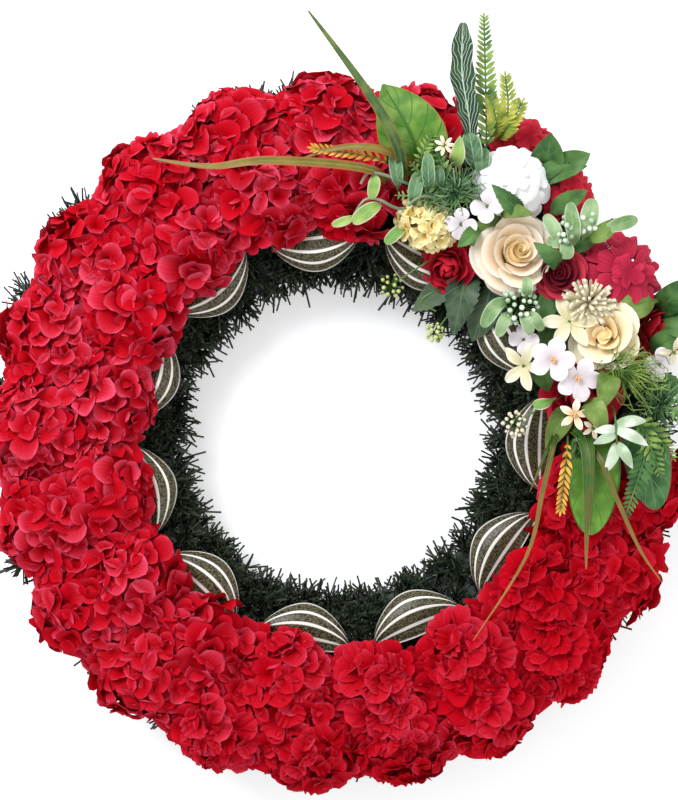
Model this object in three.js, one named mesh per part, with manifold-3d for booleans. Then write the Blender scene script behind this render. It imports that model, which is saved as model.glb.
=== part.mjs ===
// A silk-flower funeral wreath lying on its back: a ring of artificial fir, two rows of hydrangea heads,
// a striped ribbon puffed along the inside of the flowers, and a spray of blooms, leaves and grasses.
// Millimetres. +Z points out of the flowers and +Y to the top of the wreath as it hangs on a wall.
import * as THREE from "three";
import { mergeVertices } from "three/addons/utils/BufferGeometryUtils.js";
import Module from "manifold-3d";

const wasm = await Module();
wasm.setup();

// Driving dimensions
const CLEARANCE = 0.4; // air between two pieces that press together
const RING = { radius: 248, halfWidth: 101, middle: 45, rise: 55, tuft: 5, steps: 44, sides: 10 };
const HEAD = { radius: 51, height: 48, petals: 5, rows: 3, lobe: 0.08, lift: 2 };
const HEAD_ROWS = [
  { name: "outer", count: 17, first: 75, last: 351, lean: 30, sway: 9, toward: 108, spread: 38 },
  { name: "inner", count: 13, first: 84.5, last: 345, lean: -1, sway: -7, toward: 165, spread: 38 },
];
const RIBBON = { puffs: 11, firstPinch: 113, outer: -20, inner: -47, tucked: -28, standoff: 3, puff: 9 };
const RIBBON_THICKNESS = 1.2;
const STEM_RADIUS = 2.5;
const LEAF_THICKNESS = 1.6;

const FINISH = {
  fir: { color: 0x1d2b1c, roughness: 0.7 },
  hydrangea: { color: 0xc81028, roughness: 0.75 },
  ribbon: { color: 0x4d4a2c, roughness: 0.45 },
  white: { color: 0xf2eef0, roughness: 0.75 },
  cream: { color: 0xf3d9b4, roughness: 0.7 },
  yellow: { color: 0xf0d070, roughness: 0.7 },
  crimson: { color: 0xa3122c, roughness: 0.75 },
  darkRed: { color: 0x5c0a18, roughness: 0.6 },
  paleGreen: { color: 0xa9c48f, roughness: 0.6 },
  leaf: { color: 0x3f7a2c, roughness: 0.5 },
  darkLeaf: { color: 0x23402a, roughness: 0.55 },
  lime: { color: 0x9aa82c, roughness: 0.55 },
  grass: { color: 0x6f7a34, roughness: 0.55 },
};

const radians = THREE.MathUtils.degToRad;
const vector = (x, y, z) => new THREE.Vector3(x, y, z);
const UP = vector(0, 0, 1);

// Solids and cuts

// Turns a closed geometry into a solid that can be cut and joined.
function solidOf(geometry) {
  const bare = geometry.clone();
  bare.deleteAttribute("normal");
  bare.deleteAttribute("uv");
  const merged = mergeVertices(bare, 1e-3);
  const vertProperties = new Float32Array(merged.attributes.position.array);
  const triVerts = new Uint32Array(merged.index.array);
  return new wasm.Manifold(new wasm.Mesh({ numProp: 3, vertProperties, triVerts }));
}

// Turns a solid back into a geometry.
function geometryOf(solid) {
  const { vertProperties, triVerts } = solid.getMesh();
  const geometry = new THREE.BufferGeometry();
  geometry.setAttribute("position", new THREE.BufferAttribute(new Float32Array(vertProperties), 3));
  geometry.setIndex(new THREE.BufferAttribute(new Uint32Array(triVerts), 1));
  return geometry;
}

// Joins several closed geometries that touch into one solid.
const joined = (...geometries) => geometries.map(solidOf).reduce((whole, next) => whole.add(next));

// The largest body of a solid that a cut has left in several.
function largestBody(solid) {
  return solid.decompose().reduce((best, next) => (next.volume() > best.volume() ? next : best));
}

const boxOf = (solid) => {
  const { min, max } = solid.boundingBox();
  return new THREE.Box3(vector(...min), vector(...max));
};

// Moves each vertex of a geometry to where place(u, v, old) puts it.
function reshaped(geometry, place) {
  const { position, uv } = geometry.attributes;
  const old = vector(0, 0, 0);
  for (let i = 0; i < position.count; i++) {
    old.fromBufferAttribute(position, i);
    position.setXYZ(i, ...place(uv.getX(i), uv.getY(i), old));
  }
  return geometry;
}

// Shapes that the pieces are made from

// A lobed dome on a flat underside: each row of petals stands between those of the row above.
// ridge lifts every second row, as the rims of a rose's petals stand above the folds between them.
function petalDome({ radius, height, petals, rows, lobe, ridge = 0, under = 0, squash = 1 }) {
  const pointsPerPetal = 2;
  const layers = rows + 1;
  const sphere = new THREE.SphereGeometry(1, petals * pointsPerPetal, layers);
  return reshaped(sphere, (u, v) => {
    const row = Math.round((1 - v) * layers);
    if (row === 0) return vector(0, 0, height);
    if (row === layers) return vector(0, 0, -under);
    const fall = (row / rows) * (Math.PI / 2);
    const turn = 2 * Math.PI * u;
    const reach = radius * Math.sin(fall) * (1 + lobe * Math.cos(petals * turn + Math.PI * row));
    const rim = row < rows ? ridge * height * (row % 2 ? 1 : -1) : 0;
    return vector(reach * Math.cos(turn), reach * squash * Math.sin(turn), height * Math.cos(fall) + rim);
  });
}

// A thin closed sheet. surface(s, t) is its middle face, s from -1 to 1 across and t from 0 to 1 along.
function sheet(across, along, thickness, surface) {
  const step = 1e-3;
  return reshaped(new THREE.BoxGeometry(2, 1, 1, across, along, 1), (u, v, old) => {
    const [s, t] = [old.x, old.y + 0.5];
    const sideways = surface(s + step, t).sub(surface(s - step, t));
    const onwards = surface(s, t + step).sub(surface(s, t - step));
    const normal = sideways.cross(onwards).normalize();
    return surface(s, t).addScaledVector(normal, old.z * thickness);
  });
}

// Outlines of fronds: the half-width's share at t, from the foot at 0 to the tip at 1.
const OUTLINE = {
  blade: (t) => 0.12 + 0.88 * Math.sin(Math.PI * Math.min(1, 0.25 + 0.72 * t)),
  leaf: (t) => Math.max(0.09, Math.sin(Math.PI * THREE.MathUtils.clamp((t - 0.2) / 0.8, 0, 1)) ** 0.8),
  fern: (t, step) => (t < 0.25 ? 0.12 : 1.15 * (1 - 0.85 * t) * (step % 2 ? 1 : 0.35)),
};

// A leaf, blade or fern along a spine of points, from a stalk's foot on the ring to the tip.
// fold raises both edges above the midrib, as a share of the half-width.
function frond({ spine, width, outline, along, across = 2, fold = 0.25 }, grow = 0) {
  const curve = new THREE.CatmullRomCurve3(spine.map((point) => vector(...point)));
  const share = OUTLINE[outline];
  const surface = (s, t) => {
    const inside = THREE.MathUtils.clamp(t, 0, 1);
    const tangent = curve.getTangent(inside);
    const side = tangent.clone().cross(UP).normalize();
    const normal = side.clone().cross(tangent);
    const half = (width / 2) * share(inside, Math.round(inside * along)) + grow;
    const point = curve.getPoint(inside).addScaledVector(tangent, t - inside);
    return point.addScaledVector(side, s * half).addScaledVector(normal, fold * half * Math.abs(s));
  };
  return sheet(across, along, LEAF_THICKNESS + 2 * grow, surface);
}

// The kinds of frond, each along a spine of points.
const leafOn = (spine, width, more) => ({ spine, width, outline: "leaf", along: 5, ...more });
const broadLeafOn = (spine, width) => leafOn(spine, width, { along: 8, fold: 0.15 });
const fernOn = (spine, width, along) => ({ spine, width, outline: "fern", along });
const bladeOn = (spine, width) => ({ spine, width, outline: "blade", along: 8, across: 1 });

// A straight round stem from one point down to another.
function stem(from, to, radius) {
  const run = to.clone().sub(from);
  const rod = new THREE.CylinderGeometry(radius, radius, run.length(), 6);
  const turn = new THREE.Quaternion().setFromUnitVectors(vector(0, 1, 0), run.clone().normalize());
  return rod.applyQuaternion(turn).translate(...from.clone().add(to).multiplyScalar(0.5));
}

// The ring and what is wound on it

// Height of the fir's upper face at a distance from the ring's axis.
function ringTop(distance) {
  const share = (distance - RING.radius) / RING.halfWidth;
  return RING.middle + RING.rise * Math.sqrt(Math.max(0, 1 - share * share));
}

// A point on the ring's section, lean degrees outwards from the crest, and the outward normal there.
function onSection(lean) {
  const angle = radians(lean);
  const [across, upright] = [Math.sin(angle), Math.cos(angle)];
  return {
    point: [RING.radius + RING.halfWidth * across, RING.middle + RING.rise * upright],
    normal: new THREE.Vector2(across / RING.halfWidth, upright / RING.rise).normalize(),
  };
}

// A point at a turn round the ring's axis, a distance from it and a height.
const around = (turn, distance, z) => vector(distance * Math.cos(turn), distance * Math.sin(turn), z);

// The fir garland: a fat ring, flat where it lies and tufted on its flanks.
function firRing() {
  const torus = new THREE.TorusGeometry(RING.radius, 1, RING.sides, RING.steps);
  return reshaped(torus, (u, v) => {
    const angle = 2 * Math.PI * v;
    const step = Math.round(u * RING.steps) % RING.steps;
    const side = Math.round(v * RING.sides) % RING.sides;
    const tuft = Math.sin(2.4 * step + 1.7 * side) * Math.cos(1.3 * step * (side + 1));
    const flank = Math.cos(angle) ** 2;
    const reach = (RING.halfWidth + RING.tuft * tuft * flank) * Math.cos(angle);
    const z = Math.max(0, RING.middle + RING.rise * Math.sin(angle));
    return around(2 * Math.PI * u, RING.radius + reach, z);
  });
}

// The ribbon: one strip pinned to the fir at every pinch and puffed up between the pins.
function ribbon() {
  const stepsPerPuff = 5;
  const sides = 6;
  const torus = new THREE.TorusGeometry(RING.radius, 1, sides, RIBBON.puffs * stepsPerPuff);
  return reshaped(torus, (u, v) => {
    const puff = Math.abs(Math.sin(Math.PI * RIBBON.puffs * u)) ** 0.7;
    const corner = Math.round(v * sides) % sides;
    const across = (corner < 3 ? corner : 5 - corner) / 2;
    const face = corner < 3 ? 0.5 : -0.5;
    const innerEdge = THREE.MathUtils.lerp(RIBBON.tucked, RIBBON.inner, puff);
    const { point, normal } = onSection(THREE.MathUtils.lerp(RIBBON.outer, innerEdge, across));
    const crown = Math.sin((Math.PI * (across + 0.2)) / 1.6) * Math.min(1, 2 * across);
    const lift = RIBBON.standoff + RIBBON.puff * puff * crown + face * RIBBON_THICKNESS;
    const turn = radians(RIBBON.firstPinch) + 2 * Math.PI * u;
    return around(turn, point[0] + normal.x * lift, point[1] + normal.y * lift);
  });
}

// Flowers, each a lump with a centre and a radius by which it presses on its neighbours

// Where a lump stands: at a point, with its axis along a direction.
function standing(point, axis) {
  const turn = new THREE.Quaternion().setFromUnitVectors(UP, axis.clone().normalize());
  return new THREE.Matrix4().compose(point, turn, vector(1, 1, 1));
}

// One flower: the shape is made at the origin by shape(grow), then stood at point along axis.
function flower(name, finish, { point, axis = UP, radius, middle, shape }) {
  const frame = standing(point, axis);
  const made = (grow) => shape(grow).transform(frame.elements);
  const centre = vector(0, 0, middle).applyMatrix4(frame);
  return { name, finish, frame, centre, radius, solid: made(0), made };
}

// The hydrangea heads of one row, resting on the ring's face where it leans out by row.lean degrees. The heads
// near row.toward degrees round the ring lean out by up to row.sway degrees more.
function hydrangeaRow(row) {
  const shape = (grow) =>
    solidOf(petalDome({ ...HEAD, radius: HEAD.radius + grow, height: HEAD.height + grow, under: grow }));
  return Array.from({ length: row.count }, (_, index) => {
    const bearing = row.first + ((row.last - row.first) * index) / (row.count - 1);
    const nearness = Math.exp(-(((bearing - row.toward) / row.spread) ** 2));
    const { point, normal } = onSection(row.lean + row.sway * nearness);
    const turn = radians(bearing);
    const axis = around(turn, normal.x, normal.y);
    const foot = around(turn, ...point).addScaledVector(axis, HEAD.lift);
    const name = `hydrangea_${row.name}_${String(index + 1).padStart(2, "0")}`;
    return flower(name, "hydrangea", { point: foot, axis, radius: HEAD.radius, middle: 0, shape });
  });
}

// A bloom of the spray. One that stands clear of the fir has a stem that reaches down to it.
function bloom(name, finish, { at: [x, y, rise], tilt = [0, 0], dome, extra = [] }) {
  const seat = ringTop(Math.hypot(x, y)) + HEAD.lift;
  const point = vector(x, y, seat + rise);
  const axis = vector(...tilt, 1).normalize();
  const root = vector(x, y, seat).applyMatrix4(standing(point, axis).invert());
  const shape = (grow) => {
    const wider = { radius: dome.radius + grow, height: dome.height + grow, under: dome.under + grow };
    const stalk = rise > 0 ? [stem(vector(0, 0, dome.height / 3), root, STEM_RADIUS + grow)] : [];
    return joined(petalDome({ ...dome, ...wider }), ...stalk, ...extra.map((more) => more(grow)));
  };
  return flower(name, finish, { point, axis, radius: dome.radius, middle: dome.height / 3, shape });
}

// Petal forms of the spray's blooms
const peony = (radius, height) => ({ radius, height, under: 0, petals: 6, rows: 4, lobe: 0.1, ridge: 0.07 });
const rose = (radius, height) => ({ radius, height, under: 4, petals: 5, rows: 6, lobe: 0.05, ridge: 0.06 });
const blossom = (radius, height) => ({ radius, height, under: 4, petals: 5, rows: 2, lobe: 0.22 });
const spiky = (radius, height) => ({ radius, height, under: 4, petals: 6, rows: 2, lobe: 0.25 });

// A second bloom of the same form beside the first, at an offset from it.
const besideIt = (dome, offset) => (grow) => {
  const wider = { radius: dome.radius + grow, height: dome.height + grow, under: dome.under + grow };
  return petalDome({ ...dome, ...wider }).translate(...offset);
};

// Small pale leaves standing out below a sprig's berries.
function sprigLeaves(bearings, reach, width) {
  return bearings.map((bearing) => (grow) => {
    const turn = radians(bearing);
    const spine = [around(turn, 2, 6), around(turn, reach * 0.5, 12), around(turn, reach, 10)];
    return frond(leafOn(spine, width, { along: 4, across: 1 }), grow);
  });
}

// The spray's blooms: at is x and y from the ring's axis and the rise above the fir.
const blooms = [
  bloom("cream_rose", "cream", { at: [164, 178, 28], tilt: [-0.1, -0.1], dome: rose(42, 54) }),
  bloom("white_peony", "white", { at: [167, 247, 28], tilt: [0, 0.1], dome: peony(38, 46) }),
  bloom("dark_red_rose", "darkRed", { at: [215, 158, 26], tilt: [-0.1, 0], dome: rose(29, 44) }),
  bloom("crimson_peony", "crimson", { at: [266, 160, 20], tilt: [0.2, 0.1], dome: peony(43, 46) }),
  bloom("red_peony_left", "hydrangea", { at: [117, 178, 0], tilt: [-0.3, -0.5], dome: peony(30, 36) }),
  bloom("red_peony_right", "hydrangea", { at: [223, 238, 0], tilt: [0.4, 0.4], dome: peony(32, 46) }),
  bloom("red_peony_top", "hydrangea", { at: [176, 286, 0], tilt: [0.1, 0.5], dome: peony(34, 44) }),
  bloom("red_peony_low", "hydrangea", { at: [240, 46, 0], dome: peony(36, 46) }),
  bloom("red_peony_edge", "hydrangea", { at: [304, 100, 0], tilt: [0.6, 0], dome: peony(32, 44) }),
  bloom("yellow_stock", "yellow", { at: [83, 206, 20], dome: { ...peony(31, 38), squash: 0.75 } }),
  bloom("yellow_rosebud", "yellow", { at: [257, 99, 42], tilt: [-0.2, 0.2], dome: rose(27, 42) }),
  bloom("white_blossoms", "white", {
    at: [206, 80, 64],
    tilt: [-0.1, 0.1],
    dome: blossom(26, 14),
    extra: [besideIt(blossom(26, 14), [25, -23, -4])],
  }),
  bloom("cream_lily", "cream", { at: [178, 72, 50], tilt: [-0.3, -0.2], dome: blossom(24, 20) }),
  bloom("cream_sea_holly", "cream", { at: [238, 135, 48], dome: spiky(27, 28) }),
  bloom("berry_sprig_low", "paleGreen", {
    at: [170, 126, 48],
    tilt: [-0.1, -0.2],
    dome: spiky(24, 24),
    extra: sprigLeaves([200, 245, 300], 38, 18),
  }),
  bloom("berry_sprig_high", "paleGreen", {
    at: [228, 207, 54],
    tilt: [0.15, 0.1],
    dome: spiky(22, 22),
    extra: sprigLeaves([0, 75, 215], 42, 20),
  }),
];

// Leaves and grasses of the spray: each spine runs from the fir, up through the blooms, to the tip.
const fronds = [
  ["broad_leaf_top", "leaf", broadLeafOn([[78, 240, 101], [74, 284, 156], [43, 342, 158]], 66)],
  ["broad_leaf_bottom", "leaf", broadLeafOn([[246, 6, 102], [246, -16, 154], [242, -92, 155]], 62)],
  ["broad_leaf_side", "darkLeaf", broadLeafOn([[290, 26, 97], [292, -2, 146], [306, -70, 148]], 58)],
  [
    "rose_leaves_left",
    "darkLeaf",
    leafOn([[148, 156, 98], [134, 138, 120], [118, 102, 112]], 38),
    leafOn([[148, 156, 98], [152, 132, 112], [144, 94, 104]], 36),
  ],
  [
    "rose_leaves_right",
    "leaf",
    leafOn([[196, 262, 92], [202, 268, 138], [206, 296, 150]], 32),
    leafOn([[196, 262, 92], [220, 266, 136], [245, 277, 144]], 26),
  ],
  [
    "edge_leaves",
    "leaf",
    leafOn([[310, 126, 80], [322, 134, 134], [343, 156, 140]], 28),
    leafOn([[310, 126, 80], [330, 116, 130], [356, 104, 134]], 32),
  ],
  ["fern_top", "leaf", fernOn([[146, 268, 95], [144, 300, 144], [141, 413, 152]], 34, 20)],
  ["veined_leaf_top", "darkLeaf", leafOn([[120, 264, 99], [121, 304, 162], [119, 400, 166]], 32)],
  ["yellow_fern", "lime", fernOn([[150, 292, 86], [163, 312, 156], [161, 354, 160]], 46, 12)],
  ["grass_blade_up", "grass", bladeOn([[64, 236, 101], [58, 276, 176], [28, 330, 186], [-28, 406, 188]], 11)],
  [
    "grass_blade_left",
    "grass",
    bladeOn([[48, 236, 101], [34, 258, 164], [-64, 266, 178], [-122, 261, 172], [-178, 270, 160]], 10),
  ],
  [
    "grass_blades_down",
    "grass",
    bladeOn([[222, 14, 100], [212, -14, 160], [176, -134, 168], [127, -194, 160]], 8),
    bladeOn([[222, 14, 100], [236, -10, 168], [238, -142, 164]], 9),
    bladeOn([[222, 14, 100], [256, -10, 164], [278, -86, 168], [313, -138, 150]], 8),
  ],
];

// Assembly

// Parts two lumps that overlap along the plane where they press together.
function pressApart(lump, other) {
  const away = lump.centre.clone().sub(other.centre);
  const distance = away.length();
  if (distance >= lump.radius + other.radius) return;
  away.normalize();
  const reach = (distance + other.radius - lump.radius) / 2 + CLEARANCE / 2;
  const plane = other.centre.dot(away) + reach;
  lump.solid = largestBody(lump.solid.trimByPlane([...away], plane));
}

// Cuts a piece back from the pieces already in place, with the clearance between them.
function cutBack(solid, placed) {
  return placed.reduce((left, other) => {
    if (!boxOf(left).intersectsBox(boxOf(other.solid))) return left;
    if (left.intersect(other.solid).volume() === 0) return left;
    return largestBody(left.subtract(other.made(CLEARANCE)));
  }, solid);
}

// A named mesh, with its geometry about its own frame and its place in its matrix.
function meshOf({ name, finish, frame, solid }) {
  const geometry = geometryOf(solid).applyMatrix4(frame.clone().invert());
  geometry.computeVertexNormals();
  const mesh = new THREE.Mesh(geometry, new THREE.MeshStandardMaterial({ metalness: 0, ...FINISH[finish] }));
  mesh.name = name;
  mesh.applyMatrix4(frame);
  return mesh;
}

const still = (geometry, name, finish) => {
  const solid = solidOf(geometry);
  return { name, finish, frame: new THREE.Matrix4(), solid, made: () => solid };
};

const lumps = [...HEAD_ROWS.flatMap(hydrangeaRow), ...blooms];
lumps.forEach((lump) => lumps.filter((other) => other !== lump).forEach((other) => pressApart(lump, other)));

const placed = [still(firRing(), "fir_ring", "fir"), still(ribbon(), "ribbon", "ribbon")];
fronds.forEach(([name, finish, ...parts]) => {
  const made = (grow) => joined(...parts.map((part) => frond(part, grow)));
  const frame = new THREE.Matrix4().setPosition(...parts[0].spine[0]);
  placed.push({ name, finish, frame, made, solid: cutBack(largestBody(made(0)), placed) });
});
lumps.forEach((lump) => placed.push({ ...lump, solid: cutBack(lump.solid, placed) }));

// The wreath stands with the middle of its underside at the origin.
const wreath = new THREE.Group();
placed.forEach((piece) => wreath.add(meshOf(piece)));
const extent = new THREE.Box3().setFromObject(wreath, true);
const middle = extent.getCenter(vector(0, 0, 0));
wreath.position.set(-middle.x, -middle.y, -extent.min.z);

export default wreath;
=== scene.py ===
"""A silk-flower funeral wreath lying on its back in a pale studio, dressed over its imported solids.

The ring's axis stands upright, +Z points out of the flowers and +Y to the top of the wreath as it hangs.
Places of the spray are millimetres from the foot of the ring's axis; the scene is in metres.
"""

import logging
import math
import random
from dataclasses import dataclass, field, replace
from enum import Enum
from functools import partial
from typing import Callable, Optional, Protocol, Sequence, Union

import bpy
from mathutils import Matrix, Quaternion, Vector


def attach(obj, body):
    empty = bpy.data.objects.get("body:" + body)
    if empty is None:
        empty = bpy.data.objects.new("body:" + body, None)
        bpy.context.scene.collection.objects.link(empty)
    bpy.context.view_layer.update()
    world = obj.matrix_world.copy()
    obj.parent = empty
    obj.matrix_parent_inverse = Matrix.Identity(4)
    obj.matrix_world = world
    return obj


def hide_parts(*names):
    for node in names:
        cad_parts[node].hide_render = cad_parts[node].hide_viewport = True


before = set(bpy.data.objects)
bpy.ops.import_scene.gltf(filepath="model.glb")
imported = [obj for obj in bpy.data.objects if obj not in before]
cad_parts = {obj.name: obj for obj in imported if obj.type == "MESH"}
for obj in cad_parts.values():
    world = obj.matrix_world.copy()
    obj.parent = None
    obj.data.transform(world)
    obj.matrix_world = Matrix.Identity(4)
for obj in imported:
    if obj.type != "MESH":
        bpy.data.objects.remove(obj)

LOG = logging.getLogger("wreath")
MM = 0.001
BODY = "root"
UP = Vector((0, 0, 1))
GOLDEN_ANGLE = math.pi * (3 - math.sqrt(5))
# Faces that meet more sharply than this keep a hard edge between them.
SHARP_EDGE = math.radians(70)
# A direction that no stalk lies along, and the length at which a sideways vector counts as none.
ASKEW = Vector((0.2, 0.1, 1.0))
NO_SIDE = 1e-6

# The ring's axis in the frame, in metres, and the fir ring's section as its solid has it, in millimetres.
RING_AXIS = Vector((-2.401, -32.349, 0.0)) * MM
RING_RADIUS, RING_HALF_WIDTH, RING_MIDDLE, RING_RISE = 248.0, 101.0, 45.0, 55.0
# Millimetres that a hydrangea head stands off the ring, and that a bloom's stalk reaches into the fir.
HEAD_LIFT = 2.0
STALK_DEPTH = 10.0

Mesh, Node, Socket, Tree = bpy.types.Mesh, bpy.types.Node, bpy.types.NodeSocket, bpy.types.NodeTree
Surface = Callable[[float, float], Vector]
Place = tuple[float, float, float]
Lean = tuple[float, float]
Spine = Sequence[Place]
Feed = Union[float, tuple, bool, str, Socket, Node]


def linear(colour: str) -> tuple[float, float, float, float]:
    """Turns an sRGB hex colour into linear values for a shader.

    Args:
        colour: Six hex digits with a leading hash.

    Returns:
        Red, green, blue and full alpha, linear.
    """
    channels = [int(colour[i : i + 2], 16) / 255 for i in (1, 3, 5)]
    red, green, blue = (c / 12.92 if c <= 0.04045 else ((c + 0.055) / 1.055) ** 2.4 for c in channels)
    return (red, green, blue, 1.0)


def place(x: float, y: float, z: float) -> Vector:
    """Gives the frame's point, in metres, for millimetres from the foot of the ring's axis."""
    return RING_AXIS + Vector((x, y, z)) * MM


def around(turn: float, distance: float, z: float) -> Vector:
    """Gives a point at a turn in radians, a distance and a height about an upright axis at the origin."""
    return Vector((distance * math.cos(turn), distance * math.sin(turn), z))


def on_section(lean: float) -> tuple[float, float, float, float]:
    """Gives a point of the ring's section and the outward normal there.

    Args:
        lean: Degrees outwards from the crest.

    Returns:
        Distance from the axis, height, and the normal's outward and upward parts.
    """
    sine, cosine = math.sin(math.radians(lean)), math.cos(math.radians(lean))
    normal = Vector((sine / RING_HALF_WIDTH, cosine / RING_RISE)).normalized()
    return RING_RADIUS + RING_HALF_WIDTH * sine, RING_MIDDLE + RING_RISE * cosine, normal.x, normal.y


def ring_top(x: float, y: float) -> float:
    """Gives the height of the fir's upper face, all in millimetres from the foot of the ring's axis."""
    share = (math.hypot(x, y) - RING_RADIUS) / RING_HALF_WIDTH
    return RING_MIDDLE + RING_RISE * math.sqrt(max(0.0, 1 - share * share))


def facing(direction: Vector, up: Vector) -> Matrix:
    """Makes a rotation that takes +X to a direction and +Z close to another.

    Args:
        direction: Where +X goes.
        up: Where +Z goes, as nearly as it can.

    Returns:
        The rotation.
    """
    ahead = direction.normalized()
    side = up.cross(ahead)
    if side.length < NO_SIDE:
        side = Vector((0, 1, 0)).cross(ahead)
    side.normalize()
    return Matrix((ahead, side, ahead.cross(side))).transposed().to_4x4()


def curve_point(spine: Sequence[Vector], t: float) -> Vector:
    """Gives a point on a smooth curve through points.

    Args:
        spine: The points.
        t: Share of the way from the first point to the last.

    Returns:
        The point.
    """
    last = len(spine) - 1
    part = min(int(t * last), last - 1)
    u = t * last - part
    a, b, c, d = (spine[max(0, min(last, part + k))] for k in (-1, 0, 1, 2))
    return 0.5 * (2 * b + (c - a) * u + (2 * a - 5 * b + 4 * c - d) * u**2 + (3 * b - a - 3 * c + d) * u**3)


def bent(spine: Sequence[Vector], steps: int) -> list[Vector]:
    """Gives points along a smooth curve, from its first point to its last."""
    return [curve_point(spine, k / steps) for k in range(steps + 1)]


def heading(spine: Sequence[Vector], t: float, reach: float) -> Vector:
    """Gives a curve's unit direction at t, taken over a reach to either side."""
    ahead, behind = curve_point(spine, min(1.0, t + reach)), curve_point(spine, max(0.0, t - reach))
    return (ahead - behind).normalized()


def even_share(spine: Sequence[Vector], share: float) -> float:
    """Finds where a share of a curve's length lies.

    Args:
        spine: The curve's points.
        share: Share of its length.

    Returns:
        The share of the way for curve_point.
    """
    steps, rounding = 40, 0.9999
    marks = [curve_point(spine, k / steps) for k in range(steps + 1)]
    runs = [0.0]
    for a, b in zip(marks, marks[1:]):
        runs.append(runs[-1] + (b - a).length)
    k = next(j for j in range(1, steps + 1) if runs[j] >= share * runs[-1] * rounding)
    return (k - 1 + (share * runs[-1] - runs[k - 1]) / (runs[k] - runs[k - 1])) / steps


@dataclass
class Pile:
    """A mesh in the making, from thin closed sheets and rods.

    across and along say where a vertex lies on its leaf or petal, and tint varies from piece to piece.
    """

    points: list[Vector] = field(default_factory=list)
    faces: list[tuple[int, ...]] = field(default_factory=list)
    across: list[float] = field(default_factory=list)
    along: list[float] = field(default_factory=list)
    tint: list[float] = field(default_factory=list)

    def point(self, at: Vector, across: float, along: float, tint: float) -> int:
        """Adds a vertex.

        Args:
            at: Its place.
            across: From -1 to 1 over the leaf or petal.
            along: From 0 at the foot to 1 at the tip.
            tint: The piece's own tint, 0 to 1.

        Returns:
            The vertex's index.
        """
        self.points.append(at)
        self.across.append(across)
        self.along.append(along)
        self.tint.append(tint)
        return len(self.points) - 1

    def sheet(
        self, surface: Surface, columns: int, rows: int, thickness: float, tint: float = 0.5,
        turn: Matrix = Matrix.Identity(4),
    ) -> None:
        """Adds a thin closed sheet whose two faces meet along its rim.

        Args:
            surface: The middle face, from across (-1 to 1) and along (0 to 1).
            columns: Quads across.
            rows: Quads along.
            thickness: Thickness away from the rim.
            tint: The sheet's tint.
            turn: Places the sheet.
        """
        stops = [2 * i / columns - 1 for i in range(columns + 1)]
        grid = [[turn @ surface(s, j / rows) for s in stops] for j in range(rows + 1)]
        top: list[list[int]] = []
        under: list[list[int]] = []
        for j, line in enumerate(grid):
            top.append([])
            under.append([])
            for i, middle in enumerate(line):
                sideways = line[min(i + 1, columns)] - line[max(i - 1, 0)]
                onwards = grid[min(j + 1, rows)][i] - grid[max(j - 1, 0)][i]
                normal = sideways.cross(onwards).normalized()
                s, t = stops[i], j / rows
                rim = i in (0, columns) or j in (0, rows)
                lift = normal * (0 if rim else thickness / 2)
                top[j].append(self.point(middle + lift, s, t, tint))
                under[j].append(top[j][i] if rim else self.point(middle - lift, s, t, tint))
        for j in range(rows):
            for i in range(columns):
                self.faces.append((top[j][i], top[j][i + 1], top[j + 1][i + 1], top[j + 1][i]))
                self.faces.append((under[j][i], under[j + 1][i], under[j + 1][i + 1], under[j][i + 1]))

    def rod(self, line: Sequence[Vector], radius: float, tint: float = 0.5, sides: int = 5) -> None:
        """Adds a round stalk along points.

        Args:
            line: The points.
            radius: Its radius.
            tint: The stalk's tint.
            sides: Sides of its section.
        """
        rings: list[list[int]] = []
        last = len(line) - 1
        for j, middle in enumerate(line):
            turn = facing(line[min(j + 1, last)] - line[max(j - 1, 0)], ASKEW)
            spots = [turn @ around(k * math.tau / sides, radius, 0).zxy for k in range(sides)]
            rings.append([self.point(middle + spot, 0, j / last, tint) for spot in spots])
        for below, above in zip(rings, rings[1:]):
            for k in range(sides):
                following = (k + 1) % sides
                self.faces.append((below[k], below[following], above[following], above[k]))
        self.faces.append(tuple(reversed(rings[0])))
        self.faces.append(tuple(rings[-1]))

    def absorb(self, other: "Pile", turn: Matrix) -> None:
        """Adds another pile's shape.

        Args:
            other: The other pile.
            turn: Places it.
        """
        start = len(self.points)
        for at, across, along, tint in zip(other.points, other.across, other.along, other.tint):
            self.point(turn @ at, across, along, tint)
        self.faces.extend(tuple(start + corner for corner in face) for face in other.faces)

    def mesh(self, name: str) -> Mesh:
        """Makes the mesh with its attributes.

        Args:
            name: The mesh's name.

        Returns:
            The mesh, smooth but for the rims.
        """
        made = bpy.data.meshes.new(name)
        made.from_pydata(self.points, [], self.faces)
        for attribute in ("across", "along", "tint"):
            values = made.attributes.new(attribute, "FLOAT", "POINT").data
            values.foreach_set("value", getattr(self, attribute))
        made.shade_smooth()
        made.set_sharp_from_angle(angle=SHARP_EDGE)
        return made


def output(node: Node) -> Socket:
    """Gives a node's first live output."""
    return next(socket for socket in node.outputs if socket.enabled)


def add(tree: Tree, kind: str, feeds: Union[Sequence[Feed], dict] = (), **settings: object) -> Node:
    """Adds a node with its settings, and links or sets its inputs.

    A feed is a value, a socket, a node, or a sum: a maths node's operation and then its own feeds.

    Args:
        tree: The tree.
        kind: The node's type name.
        feeds: What its inputs take, in order or by name or number.
        **settings: The node's own properties.

    Returns:
        The node.
    """
    made = tree.nodes.new(kind)
    for name, value in settings.items():
        setattr(made, name, value)
    for key, value in feeds.items() if isinstance(feeds, dict) else enumerate(feeds):
        if isinstance(value, tuple) and isinstance(value[0], str):
            value = add(tree, "ShaderNodeMath", value[1:], operation=value[0])
        if isinstance(value, Node):
            value = output(value)
        if isinstance(value, Socket):
            tree.links.new(value, made.inputs[key])
        else:
            made.inputs[key].default_value = value
    return made


# How a mix of colours is set, and which of its inputs it takes.
MIXING = {"data_type": "RGBA", "clamp_factor": True}
SHARE, FIRST, SECOND = 0, 6, 7
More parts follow.
